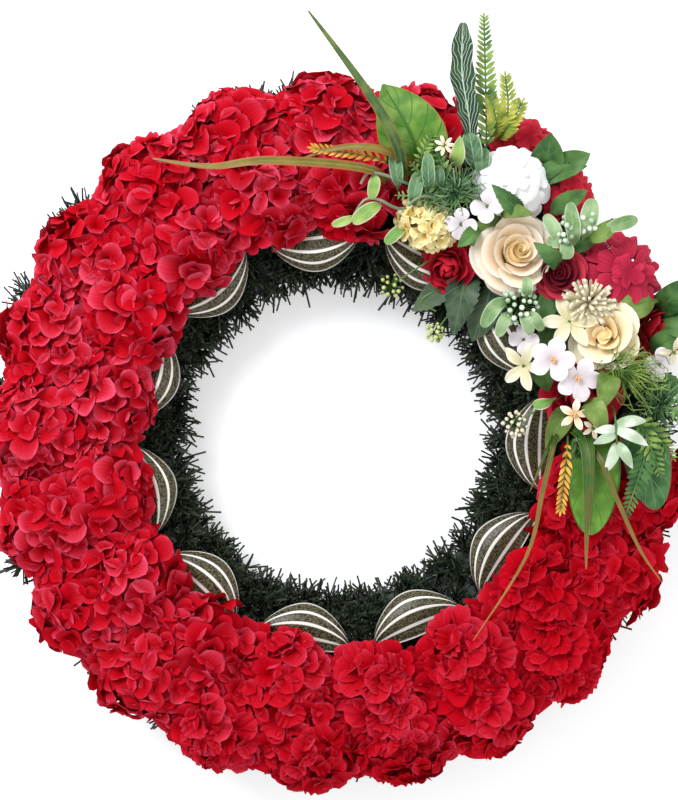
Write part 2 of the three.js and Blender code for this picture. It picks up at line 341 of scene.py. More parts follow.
# Millimetres: seven mottled patches of painted highlight and shade on a leaf go to 100, and eleven grains of
# ribbon glitter to 20.
PATCH_SIZE, GLITTER_SIZE = 100 / 7, 20 / 11
# The noise at which a grain begins to show, and at which it is brightest.
GRAIN_FROM, GRAIN_TO = 0.38, 0.66
# How a petal lightens: by its own tint, from painted shade at its foot to its tip, and towards its sides as
# a painted highlight on its rims.
TINT_SHARE, LENGTH_SHARE, SIDE_SHARE = 0.25, 0.75, 0.3
LENGTH_POWER, SIDE_POWER = 1.4, 3.0
# Pressed pleats of a silk petal, painted as streaks of light and shade, as radians from its middle line to
# its side.
PLEAT_TURNS = 22.0
# How late its blush, a painted pink highlight, comes in on a petal: a high power keeps it to the tips that
# catch the light.
HIGHLIGHT_POWER = 4.0
# A leaf's rib and the pitch of the ribbon's stripes, a quarter of its width, on the -1 to 1 scale across.
RIB_WIDTH = 0.07
STRIPE_PITCH = 2 / 4
# Share of a soft line's width over which it is full.
LINE_CORE = 0.6
# How much more than matt silk the leaves, stems, film and ribbon shine.
SATIN = 3


class Look(Enum):
    """How a finish lays its colours out."""

    PETAL = "petal"
    LEAF = "leaf"
    PLAIN = "plain"
    STRIPES = "stripes"


@dataclass(frozen=True)
class Finish:
    """A material: dark at the foot and light at the tips and rims, painted shade and highlight on petals,
    with veins or stripes where the look has them.

    Widths are on the -1 to 1 scale across; a vein's slant, wander and width are in steps between veins.
    """

    name: str
    slot: str
    dark: str
    light: str
    mark: str = "#000000"
    rim: str = "#000000"
    look: Look = Look.PETAL
    roughness: float = 0.7
    gloss: float = 0.1
    veins: float = 8.0
    vein_width: float = 0.1
    slant: float = 1.6
    wander: float = 0.0
    rim_width: float = 0.0
    # pleats, mottle and blush are painted: streaks for folds, random patches of light and shade, a pink
    # highlight.
    pleats: float = 0.0
    fade: float = 0.4
    ripen: float = 1.0
    mottle: float = 0.7
    blush: float = 0.0

    def material(self) -> bpy.types.Material:
        """Finds or makes the material.

        Returns:
            The material.
        """
        found = bpy.data.materials.get(self.name)
        if found:
            return found
        made = bpy.data.materials.new(self.name)
        made.use_nodes = True
        shader = made.node_tree.nodes["Principled BSDF"]
        shader.inputs["Roughness"].default_value = self.roughness
        shine = self.gloss if self.look is Look.PETAL else SATIN * self.gloss
        shader.inputs["Specular IOR Level"].default_value = shine
        made.node_tree.links.new(output(self.colour(made.node_tree)), shader.inputs["Base Color"])
        return made

    def level(self, tree: Tree, along: Feed, across: Feed, tint: Feed) -> Feed:
        """Lays out how light a piece is: a petal by painted shade and highlight, a leaf as it ripens and by
        painted patches, the ribbon by its glitter.

        Args:
            tree: The material's tree.
            along: The way from foot to tip.
            across: The way from side to side.
            tint: The piece's own tint.

        Returns:
            The lightness, 0 to 1.
        """
        if self.look is Look.STRIPES:
            return self.grains(tree, GLITTER_SIZE)
        if self.look is Look.PETAL:
            sides = ("MULTIPLY", ("POWER", ("ABSOLUTE", across), SIDE_POWER), SIDE_SHARE)
            own = ("MULTIPLY_ADD", tint, TINT_SHARE, sides)
            smooth = ("MULTIPLY_ADD", ("POWER", along, LENGTH_POWER), LENGTH_SHARE, own)
            pleat = ("SINE", ("MULTIPLY", across, PLEAT_TURNS))
            return ("MULTIPLY_ADD", pleat, self.pleats, smooth)
        own = ("MULTIPLY", tint, 1 - self.fade)
        ripe = ("MULTIPLY_ADD", ("POWER", along, self.ripen), self.fade, own)
        # The mottle: random painted patches of highlight and shade.
        even = ("SUBTRACT", ripe, self.mottle / 2)
        return ("MULTIPLY_ADD", self.grains(tree, PATCH_SIZE), self.mottle, even)

    def colour(self, tree: Tree) -> Node:
        """Builds the nodes for the colour, one layer over another.

        Args:
            tree: The material's tree.

        Returns:
            The node that gives the colour.
        """
        along, across, tint, shade = (
            add(tree, "ShaderNodeAttribute", attribute_name=name).outputs["Fac"]
            for name in ("along", "across", "tint", "shade")
        )
        level = self.level(tree, along, across, tint)
        off_rib = ("ABSOLUTE", across)
        layers = [(level, self.light)]
        # The blush: a painted pink highlight on the lightest petal tips, as strong as each copy's shade
        # says.
        if self.blush > 0:
            glow = ("MULTIPLY", ("POWER", level, HIGHLIGHT_POWER), ("MULTIPLY", shade, self.blush))
            layers.append((glow, self.rim))
        if self.look is Look.LEAF:
            steps = ("MULTIPLY_ADD", off_rib, -self.slant, ("MULTIPLY", along, self.veins))
            if self.wander > 0:
                steps = ("MULTIPLY_ADD", self.grains(tree, PATCH_SIZE), self.wander, steps)
            veins = self.line(tree, ("FRACT", steps), self.vein_width)
            layers.append((("MAXIMUM", veins, self.line(tree, off_rib, RIB_WIDTH)), self.mark))
        if self.rim_width > 0:
            layers.append((self.line(tree, ("SUBTRACT", 1.0, off_rib), self.rim_width), self.rim))
        if self.look is Look.STRIPES:
            beat = ("PINGPONG", ("ADD", across, 1.0), STRIPE_PITCH / 2)
            layers.append((self.line(tree, beat, self.vein_width), self.mark))
        base: Feed = linear(self.dark)
        for share, over in layers:
            base = add(tree, "ShaderNodeMix", {SHARE: share, FIRST: base, SECOND: linear(over)}, **MIXING)
        return base

    @staticmethod
    def line(tree: Tree, value: Feed, width: float) -> Node:
        """Draws a soft-edged line along a value's zero.

        Args:
            tree: The material's tree.
            value: The value.
            width: Where the line has faded out.

        Returns:
            The node that gives 1 on the line and 0 off it.
        """
        full = width * LINE_CORE
        feeds = {"Value": value, "From Min": full, "From Max": width, "To Min": 1.0, "To Max": 0.0}
        return add(tree, "ShaderNodeMapRange", feeds, interpolation_type="SMOOTHSTEP")

    @staticmethod
    def grains(tree: Tree, size: float) -> Node:
        """Draws a mottled or glittering face.

        Args:
            tree: The material's tree.
            size: About how far apart the grains are, in millimetres.

        Returns:
            The node that gives bright grains on a dark ground, from 0 to 1.
        """
        spot = add(tree, "ShaderNodeTexCoord").outputs["Object"]
        noise = add(tree, "ShaderNodeTexNoise", {"Vector": spot, "Scale": 1 / (size * MM), "Detail": 1.0})
        feeds = {"Value": noise, "From Min": GRAIN_FROM, "From Max": GRAIN_TO}
        return add(tree, "ShaderNodeMapRange", feeds)


# Dyed and pressed polyester silk, quite matt, with painted shade deep in the folds and painted light at the
# tips. The hydrangea red has the faintest painted pleats and a blush, a painted pink highlight in its rim
# colour, on its tips;
# the peony reds' painted pleats are enough to look ruffled.
RED_SILK = Finish(
    "red silk petal", "red_petals", "#9e0004", "#c40c20", rim="#d84a64", gloss=0.01, pleats=0.03, blush=1.6
)
SCARLET_SILK = Finish("scarlet silk petal", "red_petals", "#9c0a1c", "#d82c40", pleats=0.1)
CRIMSON_SILK = Finish("crimson silk petal", "crimson_petals", "#941430", "#c8304c", pleats=0.1)
# The dark rose: a nearly brown heart in brighter wine-red outer petals.
DARK_RED_SILK = Finish("burgundy silk petal", "dark_red_petals", "#5a0a18", "#84202f")
WINE_SILK = Finish("wine red silk petal", "dark_red_petals", "#8a0a1e", "#c83a4c")
# Undyed and lightly dyed silk: almost no painted shade in the white; grey-pink or straw-coloured painted
# shade in the folds elsewhere.
WHITE_SILK = Finish("white silk petal", "white_petals", "#fbfaf8", "#ffffff")
BLUSH_SILK = Finish("blush white silk petal", "white_petals", "#cfc2c4", "#f8f3f4")
CREAM_SILK = Finish("cream silk petal", "cream_petals", "#f3cfa0", "#fbf3e2")
LILY_SILK = Finish("pale cream silk petal", "cream_petals", "#d2c795", "#faf4dc")
STAR_SILK = Finish("ivory silk petal", "cream_petals", "#ecc88a", "#fffaf0")
YELLOW_SILK = Finish("yellow silk petal", "yellow_petals", "#ecd070", "#fdf4c4")
BUD_SILK = Finish("pale yellow rosebud petal", "yellow_petals", "#ecd699", "#fcf5da")
GOLDEN_SILK = Finish("golden silk heart", "yellow_petals", "#ecc27a", "#fcedc6")
# What veined leaves share, and what plain sprigs, stalks and film share.
veined = partial(Finish, look=Look.LEAF, roughness=0.5)
plain = partial(Finish, look=Look.PLAIN, roughness=0.5)
# Moulded soft plastic: pale sprigs and berries, a little shiny, lighter at their tips and edges.
PALE_LEAF = veined(
    "pale green moulded leaf", "pale_sprig", "#6d9058", "#a4bd8c", "#8caa74", "#c4d6b0", rim_width=0.12
)
BERRY_SKIN = plain("pale moulded berry", "pale_sprig", "#7fa873", "#f1f7e8", roughness=0.35)
LIME_BERRY = plain("lime moulded berry", "pale_sprig", "#7c8f3a", "#d3dc8a", roughness=0.4)
OLIVE_LEAF = veined("pale olive leaf", "pale_sprig", "#a8bf98", "#f2f7e8", "#b9cda8")
SPIKE_FILM = Finish("cream moulded spike", "cream_petals", "#cfc4a0", "#f8f0d6")
PEACH_FILM = Finish("peach moulded eye", "cream_petals", "#e09a5c", "#f3c48e", roughness=0.6)
# Printed and heat-set fabric leaves: a satin green mottled with random patches of painted highlight and
# shade, with a quiet rib and veins. Some have a browned or reddened edge, and one has bright wandering veins
# on a dark ground.
GREEN_LEAF = veined(
    "green printed leaf", "leaf", "#4a7a22", "#86a548", "#3f6a1e", "#8a7a34", roughness=0.42, rim_width=0.05
)
LOW_LEAF = veined(
    "bright green printed leaf", "leaf", "#245008", "#74a43c", "#4c7c22", "#345c14",
    roughness=0.42, rim_width=0.08, fade=0.8, mottle=0.4,
)
ROSE_LEAF = veined("rose leaf fabric", "leaf", "#2c5226", "#5c8440", "#4a7238")
MOSS_LEAF = veined(
    "moss green leaf fabric", "leaf", "#56702c", "#86a352", "#6f8c40", "#94603e", rim_width=0.06
)
DARK_LEAF = veined("dark rose leaf fabric", "dark_leaf", "#2c4430", "#5a6c50", "#5c7456")
SIDE_LEAF = veined(
    "deep green printed leaf", "dark_leaf", "#2c5a2c", "#54804a", "#5c8a54", "#8a3b3a",
    roughness=0.42, rim_width=0.05,
)
VEINED_LEAF = veined(
    "white-veined leaf", "dark_leaf", "#1f3c28", "#42603e", "#b4c4ac",
    roughness=0.7, veins=15, vein_width=0.2, slant=3.2, wander=0.9,
)
# Coated sprigs: dusty greens with a pale edge.
DUSTY_LEAF = veined(
    "dusty green leaf", "leaf", "#3f6244", "#6d9164", "#82a478", "#9ab78c", roughness=0.55, rim_width=0.14
)
VINE_LEAF = veined("edged vine leaf", "leaf", "#6b9a48", "#a3bb62", "#8db060", "#c9c0a0", rim_width=0.2)
DUSTY_STEM = plain("dusty green stem", "leaf", "#6c8668", "#a39a86")
# Moulded ferns, foliage, ears and stalks: plain satin plastic that lightens from foot to tip.
FERN_LEAF = plain("fern leaflet", "leaf", "#3c6428", "#9ab458")
DARK_FERN = plain("dark fern leaflet", "leaf", "#24502a", "#5c8b42")
LIME_LEAF = plain("lime fern leaflet", "lime_leaf", "#7a8c2c", "#c8c85a")
ASPARAGUS = plain("asparagus fern strand", "dark_leaf", "#34603a", "#86aa70")
FOLIAGE = plain("soft green foliage", "leaf", "#3f6a30", "#84aa62", roughness=0.55)
WHEAT = plain("golden grain", "grass", "#b07820", "#ecbc52", roughness=0.6)
STALK = plain("green stalk", "leaf", "#41682f", "#6a8a48")
# Cut and printed grass blades: green at the foot, with a single rib, browned or reddened at edge or tip.
blade = partial(veined, roughness=0.45, veins=1)
GRASS = blade("grass blade", "grass", "#35552a", "#6f7c3a", "#5f7c40", "#7c6a30", rim_width=0.2)
REED = blade(
    "reddened grass blade", "grass", "#305a20", "#a8603a", "#4e7832", "#687a3a",
    rim_width=0.15, fade=1.0, ripen=5.0, mottle=0.2,
)
RIPE_REED = replace(REED, name="ripe grass blade", light="#b4743c", mark="#7a7434", rim="#8c6436", ripen=1.6)
BROWN_GRASS = blade(
    "browned grass blade", "grass", "#6a6426", "#8a7c34", "#97883c", "#9c5f2a", rim_width=0.4
)
# Cut green film: dark green, painted nearly black at the needles' feet as the shade between them, and
# lighter towards the tips as a painted dull green gleam.
FIR_FILM = plain("cut fir film", "fir", "#040604", "#3a4633", roughness=0.4)
# Woven ribbon: dark brown with gold glitter and bright metal stripes.
RIBBON_WEAVE = Finish(
    "striped ribbon weave", "ribbon", "#262217", "#6f694c", "#f3eee4",
    look=Look.STRIPES, roughness=0.35, vein_width=0.075,
)


# Lowest x, y and z of what is strewn, in metres: only the floor is ever reached.
FLOOR_LIMIT = (-10.0, -10.0, 0.0)


class Scatter:
    """Geometry node trees that stand templates on points or over a face, and bake to a plain mesh."""

    def __init__(self) -> None:
        """Builds both trees."""
        self.on_points = self._points_tree()
        self.on_faces = self._faces_tree()

    @staticmethod
    def _start(name: str, **inputs: str) -> tuple[Tree, Node]:
        """Begins a tree with its geometry and named inputs.

        Args:
            name: The tree's name.
            **inputs: Name and kind of each further input.

        Returns:
            The tree and its group input node.
        """
        tree = bpy.data.node_groups.new(name, "GeometryNodeTree")
        tree.interface.new_socket("Geometry", in_out="INPUT", socket_type="NodeSocketGeometry")
        for title, kind in inputs.items():
            tree.interface.new_socket(title, in_out="INPUT", socket_type="NodeSocket" + kind)
        tree.interface.new_socket("Geometry", in_out="OUTPUT", socket_type="NodeSocketGeometry")
        return tree, add(tree, "NodeGroupInput")

    @staticmethod
    def _end(tree: Tree, geometry: Feed, material: Socket) -> None:
        """Ends a tree by realising its instances and giving them the material.

        Args:
            tree: The tree.
            geometry: The instances.
            material: The group input's material.
        """
        real = add(tree, "GeometryNodeRealizeInstances", {"Geometry": geometry})
        done = add(tree, "GeometryNodeSetMaterial", {"Geometry": real, "Material": material})
        add(tree, "NodeGroupOutput", {0: done})

    def _points_tree(self) -> Tree:
        """Stands the picked template on each point, turned and sized by the point's attributes.

        Returns:
            The tree.
        """
        tree, given = self._start("stand on points", Templates="Collection", Material="Material")
        turn, size, pick = (
            add(tree, "GeometryNodeInputNamedAttribute", {"Name": name}, data_type=kind)
            for name, kind in (("turn", "QUATERNION"), ("size", "FLOAT"), ("pick", "INT"))
        )
        feeds = {
            "Points": given.outputs["Geometry"],
            "Instance": self._shapes(tree, given),
            "Pick Instance": True,
            "Instance Index": pick,
            "Rotation": turn,
            "Scale": size,
        }
        stood = add(tree, "GeometryNodeInstanceOnPoints", feeds)
        self._end(tree, stood, given.outputs["Material"])
        return tree

    @staticmethod
    def _shapes(tree: Tree, given: Node) -> Node:
        """Brings a tree's templates in one by one, each about its own origin."""
        feeds = {"Collection": given.outputs["Templates"], "Separate Children": True, "Reset Children": True}
        return add(tree, "GeometryNodeCollectionInfo", feeds)

    def _faces_tree(self) -> Tree:
        """Strews templates over a face, leaning at random from its normal, and keeps them off the floor.

        Returns:
            The tree.
        """
        tree, given = self._start(
            "strew over faces", Templates="Collection", Material="Material", Density="Float", Lean="Float",
            Smallest="Float", Largest="Float", Seed="Int",
        )
        seed = given.outputs["Seed"]
        thick = add(tree, "GeometryNodeInputNamedAttribute", {"Name": "along"}, data_type="FLOAT")
        density = ("MULTIPLY", given.outputs["Density"], thick)
        feeds = {"Mesh": given.outputs["Geometry"], "Density": density, "Seed": seed}
        strewn = add(tree, "GeometryNodeDistributePointsOnFaces", feeds, distribute_method="RANDOM")
        sway = {0: (-1.0,) * 3, 1: (1.0,) * 3, "Seed": seed}
        swerve = add(tree, "FunctionNodeRandomValue", sway, data_type="FLOAT_VECTOR")
        feeds = {0: swerve, "Scale": given.outputs["Lean"]}
        swerve = add(tree, "ShaderNodeVectorMath", feeds, operation="SCALE")
        aim = add(tree, "ShaderNodeVectorMath", (strewn.outputs["Normal"], swerve), operation="ADD")
        sizes = {2: given.outputs["Smallest"], 3: given.outputs["Largest"], "Seed": seed}
        feeds = {
            "Points": strewn.outputs["Points"],
            "Instance": self._shapes(tree, given),
            "Pick Instance": True,
            "Rotation": add(tree, "FunctionNodeAlignRotationToVector", {"Vector": aim}, axis="X"),
            "Scale": add(tree, "FunctionNodeRandomValue", sizes, data_type="FLOAT"),
        }
        stood = add(tree, "GeometryNodeInstanceOnPoints", feeds)
        tint = add(tree, "FunctionNodeRandomValue", {2: 0.0, 3: 1.0, "Seed": seed}, data_type="FLOAT")
        feeds = {"Geometry": stood, "Name": "tint", "Value": tint}
        marked = add(tree, "GeometryNodeStoreNamedAttribute", feeds, data_type="FLOAT", domain="INSTANCE")
        whole = add(tree, "GeometryNodeJoinGeometry", (marked,))
        tree.links.new(given.outputs["Geometry"], whole.inputs[0])
        real = add(tree, "GeometryNodeRealizeInstances", {"Geometry": whole})
        at = add(tree, "GeometryNodeInputPosition")
        raised = add(tree, "ShaderNodeVectorMath", (at, FLOOR_LIMIT), operation="MAXIMUM")
        kept = add(tree, "GeometryNodeSetPosition", {"Geometry": real, "Position": raised})
        self._end(tree, kept, given.outputs["Material"])
        return tree

    def bake(
        self, tree: Tree, carrier: Mesh, templates: Sequence[Mesh], finish: Finish, **numbers: float
    ) -> Mesh:
        """Runs a tree over a carrier.

        Args:
            tree: One of the two trees.
            carrier: The mesh that holds the points or faces.
            templates: What is stood on it.
            finish: The finish of the result.
            **numbers: The tree's further inputs by lower-case name.

        Returns:
            A plain mesh.
        """
        shelf = bpy.data.collections.new("templates")
        stands = [bpy.data.objects.new(f"template_{k:02d}", shape) for k, shape in enumerate(templates)]
        for stand in stands:
            shelf.objects.link(stand)
        holder = bpy.data.objects.new("carrier", carrier)
        bpy.context.scene.collection.objects.link(holder)
        modifier = holder.modifiers.new("scatter", "NODES")
        modifier.node_group = tree
        values = {"Templates": shelf, "Material": finish.material()}
        values.update({name.capitalize(): value for name, value in numbers.items()})
        for item in tree.interface.items_tree:
            if item.in_out == "INPUT" and item.name in values:
                modifier[item.identifier] = values[item.name]
        seen = holder.evaluated_get(bpy.context.evaluated_depsgraph_get())
        made = bpy.data.meshes.new_from_object(seen)
        holder.modifiers.remove(modifier)
        for thing in (holder, *stands):
            bpy.data.objects.remove(thing)
        bpy.data.collections.remove(shelf)
        return made


@dataclass
class Points:
    """Points for templates to stand on, each with its turn, size, pick and shade: the strength of a blush's
    painted highlight.
    """

    at: list[Vector] = field(default_factory=list)
    turn: list[Quaternion] = field(default_factory=list)
    size: list[float] = field(default_factory=list)
    pick: list[int] = field(default_factory=list)
    shade: list[float] = field(default_factory=list)

    def put(self, at: Vector, turn: Matrix, size: float = 1.0, pick: int = 0, shade: float = 0.5) -> None:
        """Adds a point.

        Args:
            at: Its place.
            turn: Turns the template.
            size: Scales the template.
            pick: Which template.
            shade: How strong a blush's painted highlight is on what stands there.
        """
        self.at.append(at)
        self.turn.append(turn.to_quaternion())
        self.size.append(size)
        self.pick.append(pick)
        self.shade.append(shade)

    def mesh(self) -> Mesh:
        """Makes the carrier.

        Returns:
            A mesh of loose points with the attributes.
        """
        made = bpy.data.meshes.new("points")
        made.from_pydata(self.at, [], [])
        columns = (
            ("turn", "QUATERNION", [part for turn in self.turn for part in turn]),
            ("size", "FLOAT", self.size),
            ("pick", "INT", self.pick),
            ("shade", "FLOAT", self.shade),
        )
        for name, kind, values in columns:
            made.attributes.new(name, kind, "POINT").data.foreach_set("value", values)
        return made


@dataclass(frozen=True)
class Petal:
    """One petal, in millimetres: it leaves the axis at a tilt and bends to another on its way to the rim.

    A flat petal has a width; one that wraps round the axis has a half-angle in degrees and curls off it.
    foot is the width at its foot as a share of the whole, and opens says how soon it reaches full width.
    """

    length: float
    width: float
    start: float
    end: float
    cup: float = 0.2
    ruffle: float = 0.0
    point: float = 0.0
    pleats: float = 4.0
    wrap: float = 0.0
    curl: float = 0.0
    foot: float = 0.45
    opens: float = 1.6

    def surface(self, bearing: float, root: float, rise: float, phase: float) -> Surface:
        """Gives the petal's middle face about an upright axis.

        Args:
            bearing: Its direction round the axis, in radians.
            root: Distance of its foot from the axis.
            rise: Height of its foot.
            phase: Shifts its ruffle.

        Returns:
            The surface, in metres.
        """
        first, last = math.radians(self.start), math.radians(self.end)
        straight = 1e-4
        bend = last - first if abs(last - first) > straight else straight
        out, side = around(bearing, 1, 0), around(bearing + math.pi / 2, 1, 0)

        def at(s: float, t: float) -> Vector:
            """Gives a point, with the square of s and t rounded to a disc.

            Args:
                s: From -1 to 1 across.
                t: From 0 to 1 along.

            Returns:
                The point.
            """
            v = (2 * t - 1) * math.sqrt(1 - s * s / 2)
            u = s * math.sqrt(1 - (2 * t - 1) ** 2 / 2)
            run = (v + 1) / 2
            tilt = first + bend * run
            reach = root + self.length * (math.sin(tilt) - math.sin(first)) / bend
            height = rise + self.length * (math.cos(first) - math.cos(tilt)) / bend
            opened = self.foot + (1 - self.foot) * min(1.0, self.opens * run)
            share = u * opened * (1 - self.point * run**1.5)
            wave = self.ruffle * math.sin(self.pleats * u + phase) * run * run
            if self.wrap:
                turn = bearing + math.radians(self.wrap) * share
                off = wave - self.curl * u
                return around(turn, reach - off * math.sin(tilt), height + off * math.cos(tilt)) * MM
            half = self.width / 2
            inner = out * -math.sin(tilt) + UP * math.cos(tilt)
            lift = self.cup * half * share * share + wave
            return (out * reach + UP * height + side * (share * half) + inner * lift) * MM

        return at


@dataclass(frozen=True)
class Whorl:
    """Petals of one kind set round an axis."""

    petal: Petal
    count: int
    root: float = 0.0
    rise: float = 0.0
    twist: float = 0.0


# Millimetres through a petal, and how far petals of a whorl stray: in shares of a step, in height, in phase.
SILK_THICKNESS = 0.5
STRAY_STEP, STRAY_HEIGHT, STRAY_PHASE = 0.12, 1, 6


def whorls_into(
    pile: Pile, whorls: Sequence[Whorl], turn: Matrix, chance: random.Random, fine: tuple[int, int]
) -> None:
    """Adds whorls of petals to a pile.

    Args:
        pile: Takes the petals.
        whorls: The whorls, from the inside out.
        turn: Places the bloom.
        chance: Varies the petals.
        fine: Quads across and along each petal.
    """
    for whorl in whorls:
        for k in range(whorl.count):
            bearing = whorl.twist + math.tau * (k + chance.uniform(-STRAY_STEP, STRAY_STEP)) / whorl.count
            rise = whorl.rise + chance.uniform(-STRAY_HEIGHT, STRAY_HEIGHT)
            surface = whorl.petal.surface(bearing, whorl.root, rise, chance.uniform(0, STRAY_PHASE))
            pile.sheet(surface, *fine, SILK_THICKNESS * MM, chance.random(), turn)


def upright_to(axis: Vector) -> Matrix:
    """Makes the shortest rotation that takes +Z to an axis."""
    return UP.rotation_difference(axis).to_matrix()


def spun_to(axis: Vector, chance: random.Random) -> Matrix:
    """Makes a rotation that takes +Z to an axis after a random spin about it."""
    return (upright_to(axis) @ Matrix.Rotation(chance.uniform(0, math.tau), 3, "Z")).to_4x4()


def standing(at: Place, tilt: Lean) -> Matrix:
    """Stands something at a place with its +Z axis leaning by tilt along x and y for each unit up."""
    return Matrix.Translation(place(*at)) @ upright_to(Vector((*tilt, 1)).normalized()).to_4x4()


class Wreath:
    """Holds the made pieces and hands each to the frame."""

    def __init__(self) -> None:
        """Starts with no pieces."""
        self.scatter = Scatter()
        self.pieces: list[bpy.types.Object] = []

    def keep(self, mesh: Mesh, name: str, finish: Finish, nodes: Sequence[str] = ()) -> bpy.types.Object:
        """Shows a mesh as a piece of the wreath.

        Args:
            mesh: The finished mesh, in place.
            name: The piece's name.
            finish: Its finish.
            nodes: The solids that it stands for.

        Returns:
            The piece.
        """
        if not mesh.materials:
            mesh.materials.append(finish.material())
        piece = bpy.data.objects.new(name, mesh)
        bpy.context.scene.collection.objects.link(piece)
        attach(piece, BODY)
        if nodes:
            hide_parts(*nodes)
        self.pieces.append(piece)
        return piece

    def stand(
        self, points: Points, shapes: Sequence[Mesh], name: str, finish: Finish, nodes: Sequence[str] = ()
    ) -> None:
        """Shows shapes stood on points as a piece of the wreath, in place of the nodes."""
        mesh = self.scatter.bake(self.scatter.on_points, points.mesh(), shapes, finish)
        self.keep(mesh, name, finish, nodes)


@dataclass
class FirGarland:
    """The ring of artificial fir: a dark core bristling with short twigs, and stray tufts at its rim.

    Lengths are millimetres and bearings are degrees round the ring. The on_ fields are shares of the full
    density of twigs, on parts of the core that are wholly or partly hidden: those that face up or out less
    than the back's and the hole's limit or more than the crest's, and those under the spray.
    """

    twigs_per_m2: float = 9800.0
    twig_kinds: int = 5
    twig_length: float = 8.0
    twig_lean: float = 1.4
    twig_sizes: tuple[float, float] = (0.7, 1.15)
    needles: int = 8
    needle_length: float = 21.0
    needle_width: float = 2.2
    inset: float = 22.0
    lowest: float = 4.0
    core_steps: int = 120
    core_sides: int = 20
    back: float = -0.65
    hole: float = -0.2
    crest: float = 0.5
    on_back: float = 0.1
    on_spray: float = 0.75
    on_crest: float = 0.08
    on_outside: float = 0.85
    spray_from: float = 346.0
    spray_to: float = 80.0
    tufts: Sequence[float] = (99, 103, 108, 112, 139, 142, 145, 156, 172, 201)
    tuft_radius: float = 343.0
    tuft_spread: float = 1.8
    tuft_heights: tuple[float, float] = (34.0, 70.0)
    tuft_twigs: int = 6
    seed: int = 7

    def twig(self, chance: random.Random) -> Mesh:
        """Makes one twig along +X.

        Args:
            chance: Varies its needles.

        Returns:
            Its mesh.
        """
        pile = Pile()
        for k in range(self.needles):
            share = (k + 0.5) / self.needles
            outward = around(k * GOLDEN_ANGLE + chance.uniform(-0.4, 0.4), 1, 0).zxy
            aim = (outward * (1.05 - 0.65 * share) + Vector((0.35 + 0.75 * share, 0, 0))).normalized()
            foot = Vector((self.twig_length * share, 0, 0)) * MM
            tip = foot + aim * self.needle_length * chance.uniform(0.7, 1.2) * MM
            pile.rod([foot, tip], self.needle_width / 2 * MM, chance.random(), 3)
        return pile.mesh("twig")

    def thickness(self, outward: float, upward: float, bearing: float) -> float:
        """Gives how thickly twigs stand on part of the core, fewest where nothing can be seen of them.

        Args:
            outward: How far the part faces away from the ring's axis.
            upward: How far it faces up.
            bearing: Degrees round the ring.

        Returns:
            Share of the full density.
        """
        if upward < self.back:
            return self.on_back
        if outward < self.hole:
            return 1.0
        if bearing < self.spray_to or bearing > self.spray_from:
            return self.on_spray
        return self.on_crest if upward > self.crest else self.on_outside

    def core(self) -> Mesh:
        """Makes the core that the twigs stand on.

        Returns:
            A closed ring.
        """
        pile = Pile()
        steps, sides = self.core_steps, self.core_sides
        for i in range(steps):
            for j in range(sides):
                angle = math.tau * j / sides
                reach = RING_RADIUS + (RING_HALF_WIDTH - self.inset) * math.cos(angle)
                z = max(self.lowest, RING_MIDDLE + (RING_RISE - self.inset) * math.sin(angle))
                thick = self.thickness(math.cos(angle), math.sin(angle), 360 * i / steps)
                pile.point(RING_AXIS + around(math.tau * i / steps, reach, z) * MM, 0, thick, 0.0)
        for i in range(steps):
            for j in range(sides):
                a, b = i * sides, (i + 1) % steps * sides
                k = (j + 1) % sides
                pile.faces.append((a + j, b + j, b + k, a + k))
        return pile.mesh("fir core")

    def build(self, wreath: Wreath) -> None:
        """Makes the garland.

        Args:
            wreath: Takes the piece.
        """
        chance = random.Random(self.seed)
        twigs = [self.twig(chance) for _ in range(self.twig_kinds)]
        mesh = wreath.scatter.bake(
            wreath.scatter.on_faces, self.core(), twigs, FIR_FILM,
            density=self.twigs_per_m2, lean=self.twig_lean, seed=self.seed,
            smallest=self.twig_sizes[0], largest=self.twig_sizes[1],
        )
        wreath.keep(mesh, "fir_garland", FIR_FILM, ["fir_ring"])
        strays = Points()
        for bearing in self.tufts:
            for _ in range(self.tuft_twigs):
                turn = math.radians(bearing + chance.uniform(-self.tuft_spread, self.tuft_spread))
                at = RING_AXIS + around(turn, self.tuft_radius, chance.uniform(*self.tuft_heights)) * MM
                aim = around(turn + chance.uniform(-0.5, 0.5), 1, chance.uniform(-0.2, 0.4))
                size, pick = chance.uniform(0.8, 1.05), chance.randrange(self.twig_kinds)
                strays.put(at, facing(aim, UP), size, pick, chance.random())
        wreath.stand(strays, twigs, "fir_tufts", FIR_FILM)


def lump(radius: float, height: float, glow: float = 1.0) -> Pile:
    """Makes a round berry or a flattened cushion.

    Args:
        radius: Millimetres from its upright axis.
        height: Millimetres from its middle to its top.
        glow: How far its finish lightens to the top.

    Returns:
        Its pile, about the origin.
    """
    pile = Pile()
    rings, sides = 5, 8
    for k in range(rings):
        angle = math.pi * (k + 0.5) / rings
        for j in range(sides):
            at = around(math.tau * j / sides, radius * math.sin(angle), -height * math.cos(angle))
            pile.point(at * MM, 0, glow * k / (rings - 1), 0.5)
    for k in range(rings - 1):
        for j in range(sides):
            a, b, following = k * sides, (k + 1) * sides, (j + 1) % sides
            pile.faces.append((a + j, a + following, b + following, b + j))
    pile.faces.append(tuple(reversed(range(sides))))
    pile.faces.append(tuple(range((rings - 1) * sides, rings * sides)))
    return pile


@dataclass(frozen=True)
class HeadRow:
    """A row of hydrangea heads round the ring, leaning further out near one bearing."""

    name: str
    count: int
    first: float
    last: float
    lean: float
    sway: float
    toward: float
    spread: float = 38.0


